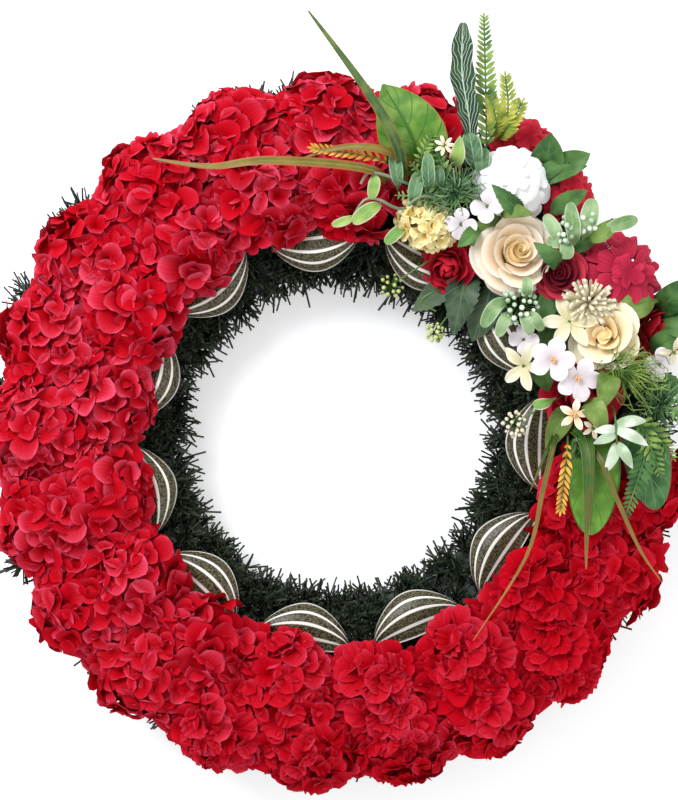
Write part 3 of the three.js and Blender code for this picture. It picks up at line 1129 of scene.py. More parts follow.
@dataclass
class HydrangeaHeads:
    """Two rows of silk hydrangea heads, each a dome of overlapping florets.

    Lengths are millimetres and bearings are degrees round the ring. Florets that would hang into the ring's
    hole past clear_from are drawn back, those at a seam between heads are raised to close it, and a filler
    stands in each notch, at a share of the way to the next head, so far up and so far out.
    """

    rows: Sequence[HeadRow] = (
        HeadRow("outer", 17, 75, 351, 30, 9, 108),
        HeadRow("inner", 13, 84.5, 345, -1, -7, 165),
    )
    kinds: Sequence[tuple[int, float, float]] = (
        (5, 29.0, 4.0), (4, 33.0, 4.0), (5, 31.0, 5.0), (4, 31.0, 3.0), (5, 33.0, 4.0), (7, 36.0, 13.0)
    )
    florets: int = 15
    dome_radius: float = 38.0
    dome_height: float = 29.0
    dome_foot: float = 4.0
    cushion_inset: float = 3.0
    jitter: float = 0.35
    overlap: float = 12.0
    reach: float = 100.0
    filler: Place = (0.42, 15.0, 14.0)
    clear_from: float = 262.0
    clear_of: float = 231.0
    seam: float = 0.85
    seam_width: float = 28.0
    seam_lift: float = 1.4
    fans: int = 3
    fans_from: float = 238.0
    fans_to: float = 330.0
    fan_pleats: float = 10.0
    # The bearing in degrees where the painted highlight on petal tips is strongest, and the share left on
    # the far side.
    highlight_bearing: float = 140.0
    least_highlight: float = 0.2
    seed: int = 11

    def floret(self, chance: random.Random, count: int, length: float, pleats: float) -> Mesh:
        """Makes one double floret facing +Z: open petals round three small ones that stand up.

        Args:
            chance: Varies its petals.
            count: Petals of its outer whorl.
            length: Their length in millimetres.
            pleats: How finely its petals are pleated.

        Returns:
            Its mesh.
        """
        pile = Pile()
        fan = pleats > self.fan_pleats
        wave, fine = (0.05 * length, (16, 4)) if fan else (0.08 * length, (4, 4))
        broad = Petal(length, 0.95 * length, chance.uniform(24, 50), -24, 0.35, wave, 0, pleats)
        heart = 0.66 * length
        small = Petal(heart, heart, chance.uniform(52, 66), 10, 0.4, 0.08 * length, 0, pleats)
        whorls = [Whorl(broad, count, 1.5), Whorl(small, 3, -1.0, 2.0, 0.5)]
        whorls_into(pile, whorls, Matrix.Identity(4), chance, fine)
        return pile.mesh("floret")

    def highlight_share(self, foot: Vector) -> float:
        """Gives how strong the painted highlight on a head's petal tips is: 1 at the top left, nearest the
        key light, less opposite.

        Args:
            foot: The head's foot.

        Returns:
            The share of the strongest painted highlight that its florets may have.
        """
        spot = foot - RING_AXIS
        nearness = 0.5 + 0.5 * math.cos(math.atan2(spot.y, spot.x) - math.radians(self.highlight_bearing))
        return self.least_highlight + (1 - self.least_highlight) * nearness

    def feet(self) -> dict[str, tuple[Vector, Vector]]:
        """Finds where each head sits.

        Returns:
            Solid's name to the foot's point and the head's axis.
        """
        found = {}
        for row in self.rows:
            for k in range(row.count):
                bearing = row.first + (row.last - row.first) * k / (row.count - 1)
                nearness = math.exp(-(((bearing - row.toward) / row.spread) ** 2))
                distance, z, outward, upward = on_section(row.lean + row.sway * nearness)
                turn = math.radians(bearing)
                axis = around(turn, outward, upward)
                foot = RING_AXIS + around(turn, distance, z) * MM + axis * HEAD_LIFT * MM
                found[f"hydrangea_{row.name}_{k + 1:02d}"] = (foot, axis)
        return found

    def build(self, wreath: Wreath) -> None:
        """Makes every head.

        Args:
            wreath: Takes the pieces.
        """
        chance = random.Random(self.seed)
        shapes = [self.floret(chance, *kind) for kind in self.kinds]
        # A cushion in the darkest red (no glow) under each head's florets: painted shade where the gaps
        # between them are.
        shapes.append(lump(self.dome_radius - self.cushion_inset, self.dome_height, 0.0).mesh("cushion"))
        feet = self.feet()
        for name, (foot, axis) in feet.items():
            others = {key: other for key, (other, _) in feet.items() if key != name}
            points = self.dome(foot, axis, list(others.values()), chance)
            row = name.rsplit("_", 1)[0]
            beside = [other for key, other in others.items() if key.startswith(row)]
            self.fill(points, foot, axis, beside, chance)
            wreath.stand(points, shapes, name + "_florets", RED_SILK, [name])

    def dome(self, foot: Vector, axis: Vector, others: Sequence[Vector], chance: random.Random) -> Points:
        """Lays a head's florets out over its dome, short of its neighbours.

        Args:
            foot: The head's foot.
            axis: Its axis.
            others: The feet of the other heads.
            chance: Varies the florets.

        Returns:
            The points.
        """
        points = Points()
        upright = upright_to(axis)
        points.put(foot, upright.to_4x4(), 1.0, len(self.kinds), 0.0)
        spoke = foot - RING_AXIS
        bearing = math.degrees(math.atan2(spoke.y, spoke.x)) % 360
        fans = self.fans if self.fans_from < bearing < self.fans_to else 0
        for k in range(self.florets):
            fall = math.radians(90) * math.sqrt((k + 0.3) / self.florets)
            turn = k * GOLDEN_ANGLE + chance.uniform(-0.3, 0.3)
            height = self.dome_foot + self.dome_height * math.cos(fall) ** 0.8
            spot = around(turn, self.dome_radius * math.sin(fall), height)
            outward = around(turn, math.sin(fall), math.cos(fall))
            at = foot + upright @ spot * MM
            from_axis = (at - RING_AXIS).to_2d().length / MM
            if bearing > self.clear_from and from_axis < self.clear_of:
                spot -= upright.transposed() @ spoke.normalized() * (from_axis - self.clear_of)
            edge = max((at - (foot + other) / 2).dot((other - foot).normalized()) / MM for other in others)
            if edge > self.overlap:
                continue
            filled = max(0.0, min(1.0, 1 + edge / self.seam_width))
            spot.z = max(spot.z, self.seam * self.dome_height * filled)
            outward.z += self.seam_lift * filled
            lean = Vector([chance.uniform(-1, 1) for _ in range(3)]) * self.jitter
            facing_out = spun_to((upright @ (outward + lean)).normalized(), chance)
            pick = len(self.kinds) - 1 if k < fans else chance.randrange(len(self.kinds) - 1)
            # Each floret takes a random share of its head's painted highlight.
            size, shade = chance.uniform(0.8, 1.05), self.highlight_share(foot) * chance.random()
            points.put(foot + upright @ spot * MM, facing_out, size, pick, shade)
        return points

    def fill(
        self, points: Points, foot: Vector, axis: Vector, beside: Sequence[Vector], chance: random.Random
    ) -> None:
        """Adds a floret in the notch between a head and each neighbour in its row.

        Args:
            points: Takes the florets.
            foot: The head's foot.
            axis: Its axis.
            beside: The feet of its row's other heads.
            chance: Varies the florets.
        """
        share, up, out = self.filler
        away = (foot - RING_AXIS).to_2d().normalized().to_3d()
        for other in beside:
            if (other - foot).length > self.reach * MM:
                continue
            at = foot + (other - foot) * share + (axis * up + away * out) * MM
            facing_out = spun_to(axis + away * 0.5, chance)
            size, pick = chance.uniform(0.85, 1.0), chance.randrange(len(self.kinds) - 1)
            points.put(at, facing_out, size, pick, self.highlight_share(foot) * chance.random())


@dataclass
class Ribbon:
    """The striped ribbon: one strip, pinned to the fir at every pinch and puffed up between.

    outer, inner and tucked are degrees out from the ring's crest: the edge under the flowers, then the inner
    edge at a puff and at a pinch. standoff and sunk are millimetres off the fir at a puff and at a pinch.
    """

    width: float = 40.0
    middle: float = 188.0
    slack: float = 1.05
    puffs: int = 11
    steps_per_puff: int = 32
    columns: int = 12
    first_pinch: float = 113.0
    outer: float = -20.0
    inner: float = -47.0
    tucked: float = -23.0
    standoff: float = 3.0
    sunk: float = -9.0
    puff: float = 15.0
    pinched: float = 0.3
    pleat_depth: float = 1.2
    pleats: float = 2.5
    thickness: float = 0.8

    def build(self, wreath: Wreath) -> None:
        """Makes the ribbon.

        Args:
            wreath: Takes the piece.
        """
        pile = Pile()
        steps, columns = self.puffs * self.steps_per_puff, self.columns
        for i in range(steps):
            for j in range(columns + 1):
                for face in (0.5, -0.5):
                    at = self.at(i / steps, j / columns, face * self.thickness)
                    pile.point(at, 2 * j / columns - 1, i / steps, 0.5)
        row = 2 * (columns + 1)
        for i in range(steps):
            a, b = i * row, (i + 1) % steps * row
            for j in range(columns):
                k = 2 * j
                pile.faces.append((a + k, a + k + 2, b + k + 2, b + k))
                pile.faces.append((a + k + 1, b + k + 1, b + k + 3, a + k + 3))
            end = row - 2
            pile.faces.append((a, b, b + 1, a + 1))
            pile.faces.append((a + end, a + end + 1, b + end + 1, b + end))
        piece = wreath.keep(pile.mesh("ribbon"), "striped_ribbon", RIBBON_WEAVE, ["ribbon"])

    def at(self, u: float, across: float, lift: float) -> Vector:
        """Gives a point of the ribbon.

        Args:
            u: Share of the way round.
            across: From 0 at the edge under the flowers to 1 at the inner edge.
            lift: Millimetres off its middle face.

        Returns:
            The point.
        """
        swell = max(0.0, abs(math.sin(math.pi * self.puffs * u)) - self.pinched) / (1 - self.pinched)
        puff = swell**0.6
        inner = self.tucked + (self.inner - self.tucked) * puff
        distance, z, outward, upward = on_section(self.outer + (inner - self.outer) * across)
        crown = math.sin(math.pi * (across + 0.2) / 1.6) * min(1.0, 2 * across)
        pleat = self.pleat_depth * math.cos(math.tau * self.pleats * across) * (1 - puff) ** 2
        seat = self.sunk + (self.standoff - self.sunk) * min(1.0, 3 * puff)
        rise = seat + self.puff * puff * crown + pleat + lift
        turn = math.radians(self.first_pinch) + math.tau * u
        return RING_AXIS + around(turn, distance + outward * rise, z + upward * rise) * MM


@dataclass
class Bloom:
    """A bloom of the spray: whorls of petals on a stalk that reaches down to the fir.

    The first heart_whorls have the heart's finish, and pad is the radius of a round lump among them. A bloom
    whose outer petals stand further than calyx_from from its axis has a calyx under them.
    """

    name: str
    finish: Finish
    at: Place
    whorls: Sequence[Whorl]
    tilt: Lean = (0.0, 0.0)
    nodes: Sequence[str] = ()
    seed: int = 1
    heart: Optional[Finish] = None
    heart_whorls: int = 0
    pad: float = 0.0
    pad_lift: float = 1.8
    pad_glow: float = 0.4
    calyx_from: float = 5.0
    calyx_spread: float = 1.15
    calyx_depth: float = 4.0
    stalk_radius: float = 2.2
    fine: tuple[int, int] = (8, 8)

    def build(self, wreath: Wreath) -> None:
        """Makes the bloom, its heart and its stalk.

        Args:
            wreath: Takes the pieces.
        """
        turn = standing(self.at, self.tilt)
        chance = random.Random(self.seed)
        petals = Pile()
        whorls_into(petals, self.whorls[self.heart_whorls :], turn, chance, self.fine)
        inside = Pile() if self.heart else petals
        if self.heart:
            whorls_into(inside, self.whorls[: self.heart_whorls], turn, chance, self.fine)
        if self.pad:
            raised = turn @ Matrix.Translation(UP * (self.pad_lift * self.pad * MM))
            inside.absorb(lump(self.pad, self.pad, self.pad_glow), raised)
        wreath.keep(petals.mesh(self.name), self.name + "_petals", self.finish, self.nodes)
        if self.heart:
            wreath.keep(inside.mesh(self.name), self.name + "_heart", self.heart)
        x, y, z = self.at
        foot = ring_top(x, y) - STALK_DEPTH
        if z - foot > STALK_DEPTH:
            stalk = self.calyx(turn)
            line = [turn @ (UP * MM), place(x, y, (z + foot) / 2), place(x, y, foot)]
            stalk.rod(line, self.stalk_radius * MM)
            wreath.keep(stalk.mesh("stalk"), self.name + "_stalk", STALK)

    def calyx(self, turn: Matrix) -> Pile:
        """Makes the calyx under the outer petals, where the bloom has one.

        Args:
            turn: Places the bloom.

        Returns:
            Its pile, which is empty for a small bloom.
        """
        pile = Pile()
        skirt = self.whorls[-1]
        if skirt.root > self.calyx_from:
            half = 0.5 * skirt.rise
            raised = turn @ Matrix.Translation(UP * (half * MM))
            pile.absorb(lump(self.calyx_spread * skirt.root, half + self.calyx_depth), raised)
        return pile


@dataclass(frozen=True)
class Variety:
    """A kind of bloom, drawn at one radius: its whorls from the heart out."""

    radius: float
    whorls: Sequence[Whorl]

    def grown(self, radius: float, ruffle: float = 1.0) -> list[Whorl]:
        """Scales the whorls to a bloom's size.

        Args:
            radius: The bloom's radius in millimetres.
            ruffle: How much more than drawn its petals wave.

        Returns:
            The whorls.
        """
        k = radius / self.radius
        wave = ruffle * k
        made = []
        for whorl in self.whorls:
            old = whorl.petal
            sizes = {"length": old.length * k, "width": old.width * k, "curl": old.curl * k}
            petal = replace(old, ruffle=old.ruffle * wave, **sizes)
            made.append(replace(whorl, petal=petal, root=whorl.root * k, rise=whorl.rise * k))
        return made


# From the wound heart to the rolled outer petals.
ROSE = Variety(42, [
    Whorl(Petal(24, 0, 88, 78, wrap=150, curl=2), 2, 1.2, 25, 0.3),
    Whorl(Petal(26, 0, 86, 70, wrap=112, curl=2), 3, 4, 22, 0.9),
    Whorl(Petal(29, 0, 82, 62, 0, 0.5, wrap=94, curl=2), 3, 7.5, 17, 0.2),
    Whorl(Petal(31, 0, 76, 50, 0, 0.8, wrap=80, curl=2), 4, 12, 13, 0.6),
    Whorl(Petal(32, 0, 68, 18, 0, 1.2, wrap=64, curl=2), 4, 14, 13, 0.0),
    Whorl(Petal(31, 0, 54, -14, 0, 1.6, wrap=54, curl=2), 5, 14, 12, 0.5),
    Whorl(Petal(31, 0, 30, -38, 0, 2, wrap=46, curl=2), 6, 14, 11, 0.2),
])
# A half-open bud: a loose heart in a cup of a few broad petals.
TULIP = Variety(30, [
    Whorl(Petal(20, 0, 78, 64, 0, 1.5, wrap=80, curl=2), 3, 2.5, 10, 0.3),
    Whorl(Petal(23, 0, 70, 50, 0, 1.5, wrap=66, curl=2), 3, 6, 7, 0.9),
    Whorl(Petal(30, 0, 56, 34, 0, 1.5, wrap=72, curl=1.5), 3, 9, 5, 0.1),
    Whorl(Petal(32, 0, 36, -2, 0, 2, wrap=58, curl=1.5), 4, 9, 4, 0.6),
])
# A round bloom, from the petals closed over its heart to its skirt.
PEONY = Variety(42, [
    Whorl(Petal(30, 0, 60, 150, 0, 0.6, wrap=80, curl=2), 3, 8, 16, 0.7),
    Whorl(Petal(33, 0, 44, 120, 0, 0.8, wrap=58, curl=2), 5, 9, 13, 0.2),
    Whorl(Petal(32, 0, 34, 84, 0, 1, wrap=52, curl=2), 5, 10, 11, 0.9),
    Whorl(Petal(31, 0, 26, 40, 0, 1, wrap=46, curl=2), 6, 10, 9, 0.4),
    Whorl(Petal(32, 0, 14, -20, 0, 1, wrap=42, curl=2), 6, 10, 8, 0.0),
])
# A round bloom of petals that lie over one another down a mound.
POMPON = Variety(39, [
    Whorl(Petal(19, 24, 10, -34, 0.15, 1), 5, -4, 43, 0.0),
    Whorl(Petal(22, 26, 4, -48, 0.15, 1), 6, 7, 39, 0.5),
    Whorl(Petal(25, 24, -6, -58, 0.15, 1), 8, 15, 32, 0.1),
    Whorl(Petal(25, 23, -8, -52, 0.15, 1), 10, 19, 22, 0.4),
])


def blossom(
    radius: float, petals: int = 5, narrow: float = 1.0, point: float = 0.0, cup: float = 0.15
) -> list[Whorl]:
    """Gives an open flat blossom's whorl, with petals so narrow, pointed and cupped."""
    return [Whorl(Petal(radius, radius * narrow, 24, -14, cup, 0.05 * radius, point), petals, 0.5)]


class Outline(Enum):
    """A leaf's outline."""

    OVATE = "ovate"
    OBLONG = "oblong"
    BROAD = "broad"
    WAVY = "wavy"
    TOOTHED = "toothed"
    BLADE = "blade"


@dataclass(frozen=True)
class Frond:
    """A leaf or blade along a spine of points from its foot to its tip."""

    spine: Spine
    width: float
    outline: Outline = Outline.OVATE
    fold: float = 0.18
    stalk: float = 0.2
    teeth: int = 11
    columns: int = 6
    rows: int = 24
    fine_rows: int = 44
    thickness: float = 0.7

    def half_width(self, t: float) -> float:
        """Gives the half-width.

        Args:
            t: Share of the way to the tip.

        Returns:
            Millimetres.
        """
        if self.outline is Outline.BLADE:
            return self.width / 2 * (0.1 + 0.9 * math.sin(math.pi * min(0.98, 0.25 + 0.73 * t)))
        body = max(0.0, min(1.0, (t - self.stalk) / (1 - self.stalk)))
        if self.outline is Outline.OBLONG:
            share = math.sin(math.pi * (0.02 + 0.96 * body**1.35)) ** 0.6
        elif self.outline is Outline.WAVY:
            share = math.sin(math.pi * (0.04 + 0.94 * body**1.2)) ** 0.65
            share *= 0.92 + 0.08 * math.sin(self.teeth * body)
        elif self.outline is Outline.BROAD:
            share = math.sin(math.pi * (0.02 + 0.96 * body)) ** (0.45 + 0.3 * body)
        else:
            share = math.sin(math.pi * (0.02 + 0.97 * body**0.85)) ** (0.7 + 0.5 * body)
        if self.outline is Outline.TOOTHED:
            share *= 1 - 0.16 * ((body * self.teeth) % 1)
        return self.width / 2 * max(0.03, share)

    def into(self, pile: Pile, tint: float) -> None:
        """Adds the frond to a pile.

        Args:
            pile: Takes it.
            tint: Its tint.
        """
        line = [place(*point) for point in self.spine]

        def at(s: float, t: float) -> Vector:
            """Gives a point of the folded and slightly waved blade.

            Args:
                s: From -1 to 1 across.
                t: From 0 to 1 along.

            Returns:
                The point.
            """
            ahead = heading(line, t, 0.01)
            side = ahead.cross(UP).normalized()
            half = self.half_width(t) * MM
            lift = self.fold * half * abs(s) ** 1.5 + 0.05 * half * math.sin(9 * t + 4 * s + 6 * tint)
            return curve_point(line, t) + side * (s * half) + side.cross(ahead) * lift

        rows = self.fine_rows if self.outline in (Outline.TOOTHED, Outline.WAVY) else self.rows
        pile.sheet(at, self.columns, rows, self.thickness * MM, tint)


# The commonest kinds of frond: round-tipped sprig leaves, toothed rose leaves and grass blades.
oblong = partial(Frond, outline=Outline.OBLONG, stalk=0.05)
toothed = partial(Frond, outline=Outline.TOOTHED, stalk=0.05)
strip = partial(Frond, outline=Outline.BLADE)


@dataclass
class Leaves:
    """One or more fronds of one finish."""

    name: str
    finish: Finish
    fronds: Sequence[Frond]
    nodes: Sequence[str] = ()

    def build(self, wreath: Wreath) -> None:
        """Makes the leaves.

        Args:
            wreath: Takes the piece.
        """
        pile = Pile()
        for k, frond in enumerate(self.fronds):
            frond.into(pile, (0.2 + 0.37 * k) % 1)
        wreath.keep(pile.mesh(self.name), self.name + "_sheet", self.finish, self.nodes)


@dataclass
class Stems:
    """Round stems that bend through points."""

    name: str
    finish: Finish
    spines: Sequence[Spine]
    radius: float = 1.2
    steps: int = 12

    def build(self, wreath: Wreath) -> None:
        """Makes the stems.

        Args:
            wreath: Takes the piece.
        """
        pile = Pile()
        for k, spine in enumerate(self.spines):
            line = [place(*point) for point in spine]
            pile.rod(bent(line, self.steps), self.radius * MM, (0.3 + 0.4 * k) % 1)
        wreath.keep(pile.mesh(self.name), self.name, self.finish)


@dataclass
class Sprays:
    """Leaflets or grains set in pairs along a spine: a fern, an ear of grain or a leafy sprig.

    sweep is degrees off the spine and bare its share without leaflets. taper says how far they shrink to its
    tip, rise how far they turn up, and crowd how far they close up towards the tip.
    """

    name: str
    finish: Finish
    spine: Spine
    pairs: int
    leaflet: Petal
    sweep: float = 60.0
    bare: float = 0.25
    taper: float = 0.75
    rise: float = 0.15
    crowd: float = 1.25
    nodes: Sequence[str] = ()
    seed: int = 3
    stalk_radius: float = 1.0
    stalk_steps: int = 10
    fine: tuple[int, int] = (4, 4)

    def build(self, wreath: Wreath) -> None:
        """Makes the stalk and its leaflets.

        Args:
            wreath: Takes the pieces.
        """
        chance = random.Random(self.seed)
        line = [place(*point) for point in self.spine]
        rod = Pile()
        rod.rod(bent(line, self.stalk_steps), self.stalk_radius * MM)
        wreath.keep(rod.mesh("stalk"), self.name + "_stalk", STALK)
        shape = Pile()
        shape.sheet(self.leaflet.surface(0, 0, 0, 0), *self.fine, SILK_THICKNESS * MM)
        points = Points()
        for k in range(self.pairs):
            share = (k + 0.5) / self.pairs
            t = even_share(line, self.bare + (1 - self.bare) * (1 - (1 - share) ** self.crowd))
            ahead = heading(line, t, 0.02)
            side = ahead.cross(UP).normalized()
            size = (1 - self.taper * share) * min(1.0, 0.6 + 1.6 * share)
            for sign in (-1, 1):
                swing = math.radians(self.sweep * chance.uniform(0.9, 1.1))
                aim = ahead * math.cos(swing) + side * (sign * math.sin(swing))
                aim.z += self.rise * chance.uniform(0.5, 1.5)
                points.put(curve_point(line, t), facing(aim, UP), size, 0, (share + chance.random()) / 2)
        points.put(line[-1], facing(line[-1] - curve_point(line, 0.96), UP), 1 - self.taper, 0, 1.0)
        wreath.stand(points, [shape.mesh("leaflet")], self.name + "_leaflets", self.finish, self.nodes)


@dataclass
class Tuft:
    """Thin bent strands from one foot."""

    name: str
    finish: Finish
    at: Place
    reach: float
    height: float
    strands: int
    toward: Lean = (0.0, 0.0)
    radius: float = 0.8
    steps: int = 5
    sides: int = 3
    seed: int = 9

    def build(self, wreath: Wreath) -> None:
        """Makes the tuft.

        Args:
            wreath: Takes the piece.
        """
        chance = random.Random(self.seed)
        foot = place(*self.at)
        pile = Pile()
        for k in range(self.strands):
            out = around(k * GOLDEN_ANGLE, self.reach * math.sqrt((k + 0.5) / self.strands), 0)
            out += Vector((*self.toward, 0)) * chance.uniform(0.3, 1)
            up = UP * (self.height * chance.uniform(0.6, 1))
            swerve = Vector((chance.uniform(-1, 1), chance.uniform(-1, 1), 0)) * self.reach * 0.5
            line = [foot, foot + (out * 0.3 + up) * MM, foot + (out * 0.75 + up * 1.1 + swerve) * MM]
            line.append(foot + (out + up * chance.uniform(0.7, 1.1)) * MM)
            pile.rod(bent(line, self.steps), self.radius * MM, chance.random(), self.sides)
        wreath.keep(pile.mesh(self.name), self.name, self.finish)


@dataclass
class Cluster:
    """Small shapes laid over a dome by the golden angle: berries, spikes or florets."""

    name: str
    finish: Finish
    at: Place
    radius: float
    height: float
    count: int
    shape: Pile
    tilt: Lean = (0.0, 0.0)
    spread: float = 85.0
    squash: float = 1.0
    turn: float = 0.0
    nodes: Sequence[str] = ()
    stalks: bool = False
    core: bool = False
    stalk_radius: float = 0.6
    stalk_sides: int = 3
    core_size: tuple[float, float] = (0.75, 0.9)
    core_glow: float = 0.3
    seed: int = 5

    def build(self, wreath: Wreath) -> None:
        """Makes the cluster, and its stalks where it has them.

        Args:
            wreath: Takes the pieces.
        """
        chance = random.Random(self.seed)
        turn = standing(self.at, self.tilt) @ Matrix.Rotation(math.radians(self.turn), 4, "Z")
        points = Points()
        stalks = Pile()
        for k in range(self.count):
            fall = math.radians(self.spread) * math.sqrt((k + 0.4) / self.count)
            bearing = k * GOLDEN_ANGLE + chance.uniform(-0.2, 0.2)
            spot = around(bearing, self.radius * math.sin(fall), self.height * math.cos(fall))
            spot.y *= self.squash
            aim = turn.to_3x3() @ around(bearing, math.sin(fall), math.cos(fall))
            at = turn @ (spot * MM)
            points.put(at, spun_to(aim, chance), chance.uniform(0.8, 1.2), 0, chance.random())
            if self.stalks:
                line = [turn @ (UP * (-self.height * MM)), at]
                stalks.rod(line, self.stalk_radius * MM, chance.random(), self.stalk_sides)
        if self.stalks:
            wreath.keep(stalks.mesh("stalks"), self.name + "_stalks", STALK)
        if self.core:
            core = Pile()
            wide, high = self.core_size
            core.absorb(lump(wide * self.radius, high * self.height, self.core_glow), turn)
            wreath.keep(core.mesh("core"), self.name + "_core", self.finish)
        wreath.stand(points, [self.shape.mesh("cluster part")], self.name, self.finish, self.nodes)


def finger(length: float, width: float) -> Pile:
    """Makes a blunt finger up +Z.

    Args:
        length: Millimetres.
        width: Millimetres across its middle.

    Returns:
        Its pile.
    """
    pile = Pile()
    bend = Vector((0.6, 0, 0.6 * length))
    pile.rod([Vector(), bend * MM, UP * (length * MM)], width / 2 * MM)
    return pile


def rosette(radius: float, petals: int, seed: int) -> Pile:
    """Makes a small double floret facing +Z.

    Args:
        radius: Millimetres.
        petals: Petals in each of its two whorls.
        seed: Varies it.

    Returns:
        Its pile.
    """
    pile = Pile()
    whorls = [
        Whorl(Petal(radius, radius * 0.8, 30, 0, 0.3, 1.6), petals, 0.5),
        Whorl(Petal(radius * 0.8, radius * 0.7, 66, 44, 0.4, 1.6), petals, 0.5, 0, 0.6),
    ]
    whorls_into(pile, whorls, Matrix.Identity(4), random.Random(seed), (4, 4))
    return pile


class Sprig(Protocol):
    """Anything of the spray that can build itself."""

    def build(self, wreath: Wreath) -> None:
        """Makes its pieces and hands them to the wreath."""


def blooms() -> list[Bloom]:
    """Lists the blooms: name, finish, foot, whorls, lean, solids, seed, then heart, its whorls and pad.

    Returns:
        The blooms.
    """
    return [
        Bloom(
            "cream_rose", CREAM_SILK, (170, 179, 122), ROSE.grown(42), (0.12, 0.08), ["cream_rose"], 1,
            GOLDEN_SILK, 2, 14,
        ),
        Bloom(
            "white_peony", WHITE_SILK, (169, 247, 124), POMPON.grown(38, 0.6), (0, 0.05), ["white_peony"],
            2,
        ),
        Bloom(
            "dark_red_rose", WINE_SILK, (216, 160, 130), ROSE.grown(29), (-0.1, 0), ["dark_red_rose"], 3,
            DARK_RED_SILK, 4, 9,
        ),
        Bloom(
            "crimson_peony", CRIMSON_SILK, (270, 157, 112), POMPON.grown(43, 4), (0.2, 0.1),
            ["crimson_peony"], 4,
        ),
        Bloom(
            "red_peony_left", SCARLET_SILK, (113, 174, 100), PEONY.grown(31, 4), (-0.3, -0.4),
            ["red_peony_left"], 5,
        ),
        Bloom(
            "red_peony_right", SCARLET_SILK, (219, 238, 98), POMPON.grown(33, 3), (0.3, 0.3),
            ["red_peony_right"], 6,
        ),
        Bloom(
            "red_peony_top", SCARLET_SILK, (182, 285, 92), POMPON.grown(33, 3), (0.1, 0.3),
            ["red_peony_top"], 7,
        ),
        Bloom(
            "red_peony_low", SCARLET_SILK, (240, 44, 104), PEONY.grown(42, 4), (0, 0), ["red_peony_low"], 8
        ),
        Bloom(
            "red_peony_edge", SCARLET_SILK, (309, 108, 88), PEONY.grown(38, 4), (0.4, 0),
            ["red_peony_edge"], 9,
        ),
        Bloom(
            "yellow_rosebud", BUD_SILK, (261, 99, 138), TULIP.grown(29), (-0.3, 0.1), ["yellow_rosebud"],
            10, GOLDEN_SILK, 2, 8,
        ),
        Bloom(
            "white_blossom_high", BLUSH_SILK, (205, 76, 170), blossom(22, 5, 0.82), (-0.1, 0.1),
            ["white_blossoms"], 11,
        ),
        Bloom("white_blossom_low", BLUSH_SILK, (230, 58, 167), blossom(22, 5, 0.82), (0.1, -0.2), seed=12),
        Bloom("white_sprig_right", BLUSH_SILK, (144, 224, 158), blossom(17, 4), (-0.3, 0.2), seed=13),
        Bloom("white_sprig_left", BLUSH_SILK, (119, 208, 152), blossom(16, 4), (-0.2, -0.3), seed=14),
        Bloom("white_sprig_low", BLUSH_SILK, (180, 96, 148), blossom(15, 4), (-0.2, 0.1), seed=18),
        Bloom("white_sprig_edge", BLUSH_SILK, (312, 73, 138), blossom(17, 4), (0.4, -0.2), seed=19),
        Bloom("star_flower", STAR_SILK, (226, 24, 170), blossom(16, 5, 0.6, 0.45), (0, -0.1), seed=15),
        Bloom(
            "star_flower_low", STAR_SILK, (245, 11, 162), blossom(11, 5, 0.6, 0.45), (0.1, -0.2), seed=20
        ),
        Bloom(
            "cream_lily", LILY_SILK, (180, 71, 152), blossom(25, 5, 0.62, 0.5, 0.5), (-0.4, -0.25),
            ["cream_lily"], 16,
        ),
        Bloom(
            "cream_lily_upper", LILY_SILK, (224, 113, 150), blossom(29, 6, 0.62, 0.5, 0.5), (-0.1, 0.15),
            seed=17,
        ),
        Bloom("cream_bud_edge", LILY_SILK, (326, 85, 140), blossom(15, 4, 0.6, 0.5), (0.3, -0.4), seed=21),
        Bloom("daisy_top", STAR_SILK, (102, 282, 164), blossom(10, 7, 0.45, 0.3), (0, 0), seed=22),
    ]


def clusters() -> list[Sprig]:
    """Lists the clusters: name, finish, middle, radius, height, count and shape; and the tufts.

    Returns:
        The clusters and tufts.
    """
    return [
        Cluster(
            "yellow_stock_florets", YELLOW_SILK, (86, 209, 126), 24, 24, 17, rosette(14, 5, 1), squash=0.75,
            turn=-28, nodes=["yellow_stock"], core=True,
        ),
        Cluster(
            "sea_holly_fingers", SPIKE_FILM, (243, 132, 148), 13, 10, 100, finger(14, 3.4), spread=95,
            squash=0.75, turn=-20, nodes=["cream_sea_holly"],
        ),
        Cluster(
            "berries_low", BERRY_SKIN, (175, 128, 150), 18, 16, 36, lump(2.5, 2.5), (-0.1, -0.1),
            nodes=["berry_sprig_low"], stalks=True,
        ),
        Cluster(
            "berries_high", BERRY_SKIN, (218, 201, 160), 14, 14, 13, lump(2.7, 2.7), squash=0.5, turn=80,
            nodes=["berry_sprig_high"], stalks=True,
        ),
        Cluster("berries_right", BERRY_SKIN, (239, 209, 162), 10, 10, 9, lump(2.7, 2.7), stalks=True),
        Cluster("berries_inner_upper", LIME_BERRY, (53, 151, 112), 11, 8, 14, lump(2.0, 2.0), stalks=True),
        Cluster("berries_inner_lower", LIME_BERRY, (96, 105, 104), 9, 8, 14, lump(2.2, 2.2), stalks=True),
        Cluster("cream_buds", SPIKE_FILM, (173, 14, 132), 12, 9, 20, lump(2.0, 2.0), stalks=True),
        Cluster("blossom_eye_high", PEACH_FILM, (205, 76, 175), 2.4, 2.4, 7, lump(1.3, 1.3)),
        Cluster("blossom_eye_low", PEACH_FILM, (229, 58, 172), 2.4, 2.4, 7, lump(1.3, 1.3)),
        Cluster("star_eye", PEACH_FILM, (225, 24, 173), 2, 2, 7, lump(1.2, 1.2)),
        Tuft("lime_tuft", FERN_LEAF, (266, 74, 138), 30, 26, 130, (34, -24), 0.5),
        Tuft("asparagus_tuft", ASPARAGUS, (116, 240, 126), 30, 32, 150, (-6, 2), 0.5),
        Tuft("asparagus_right", ASPARAGUS, (312, 36, 124), 26, 24, 80, (10, -8), 0.5),
        Tuft("dark_tuft", ASPARAGUS, (231, -1, 136), 12, 26, 30, (0, -22), 0.9),
    ]


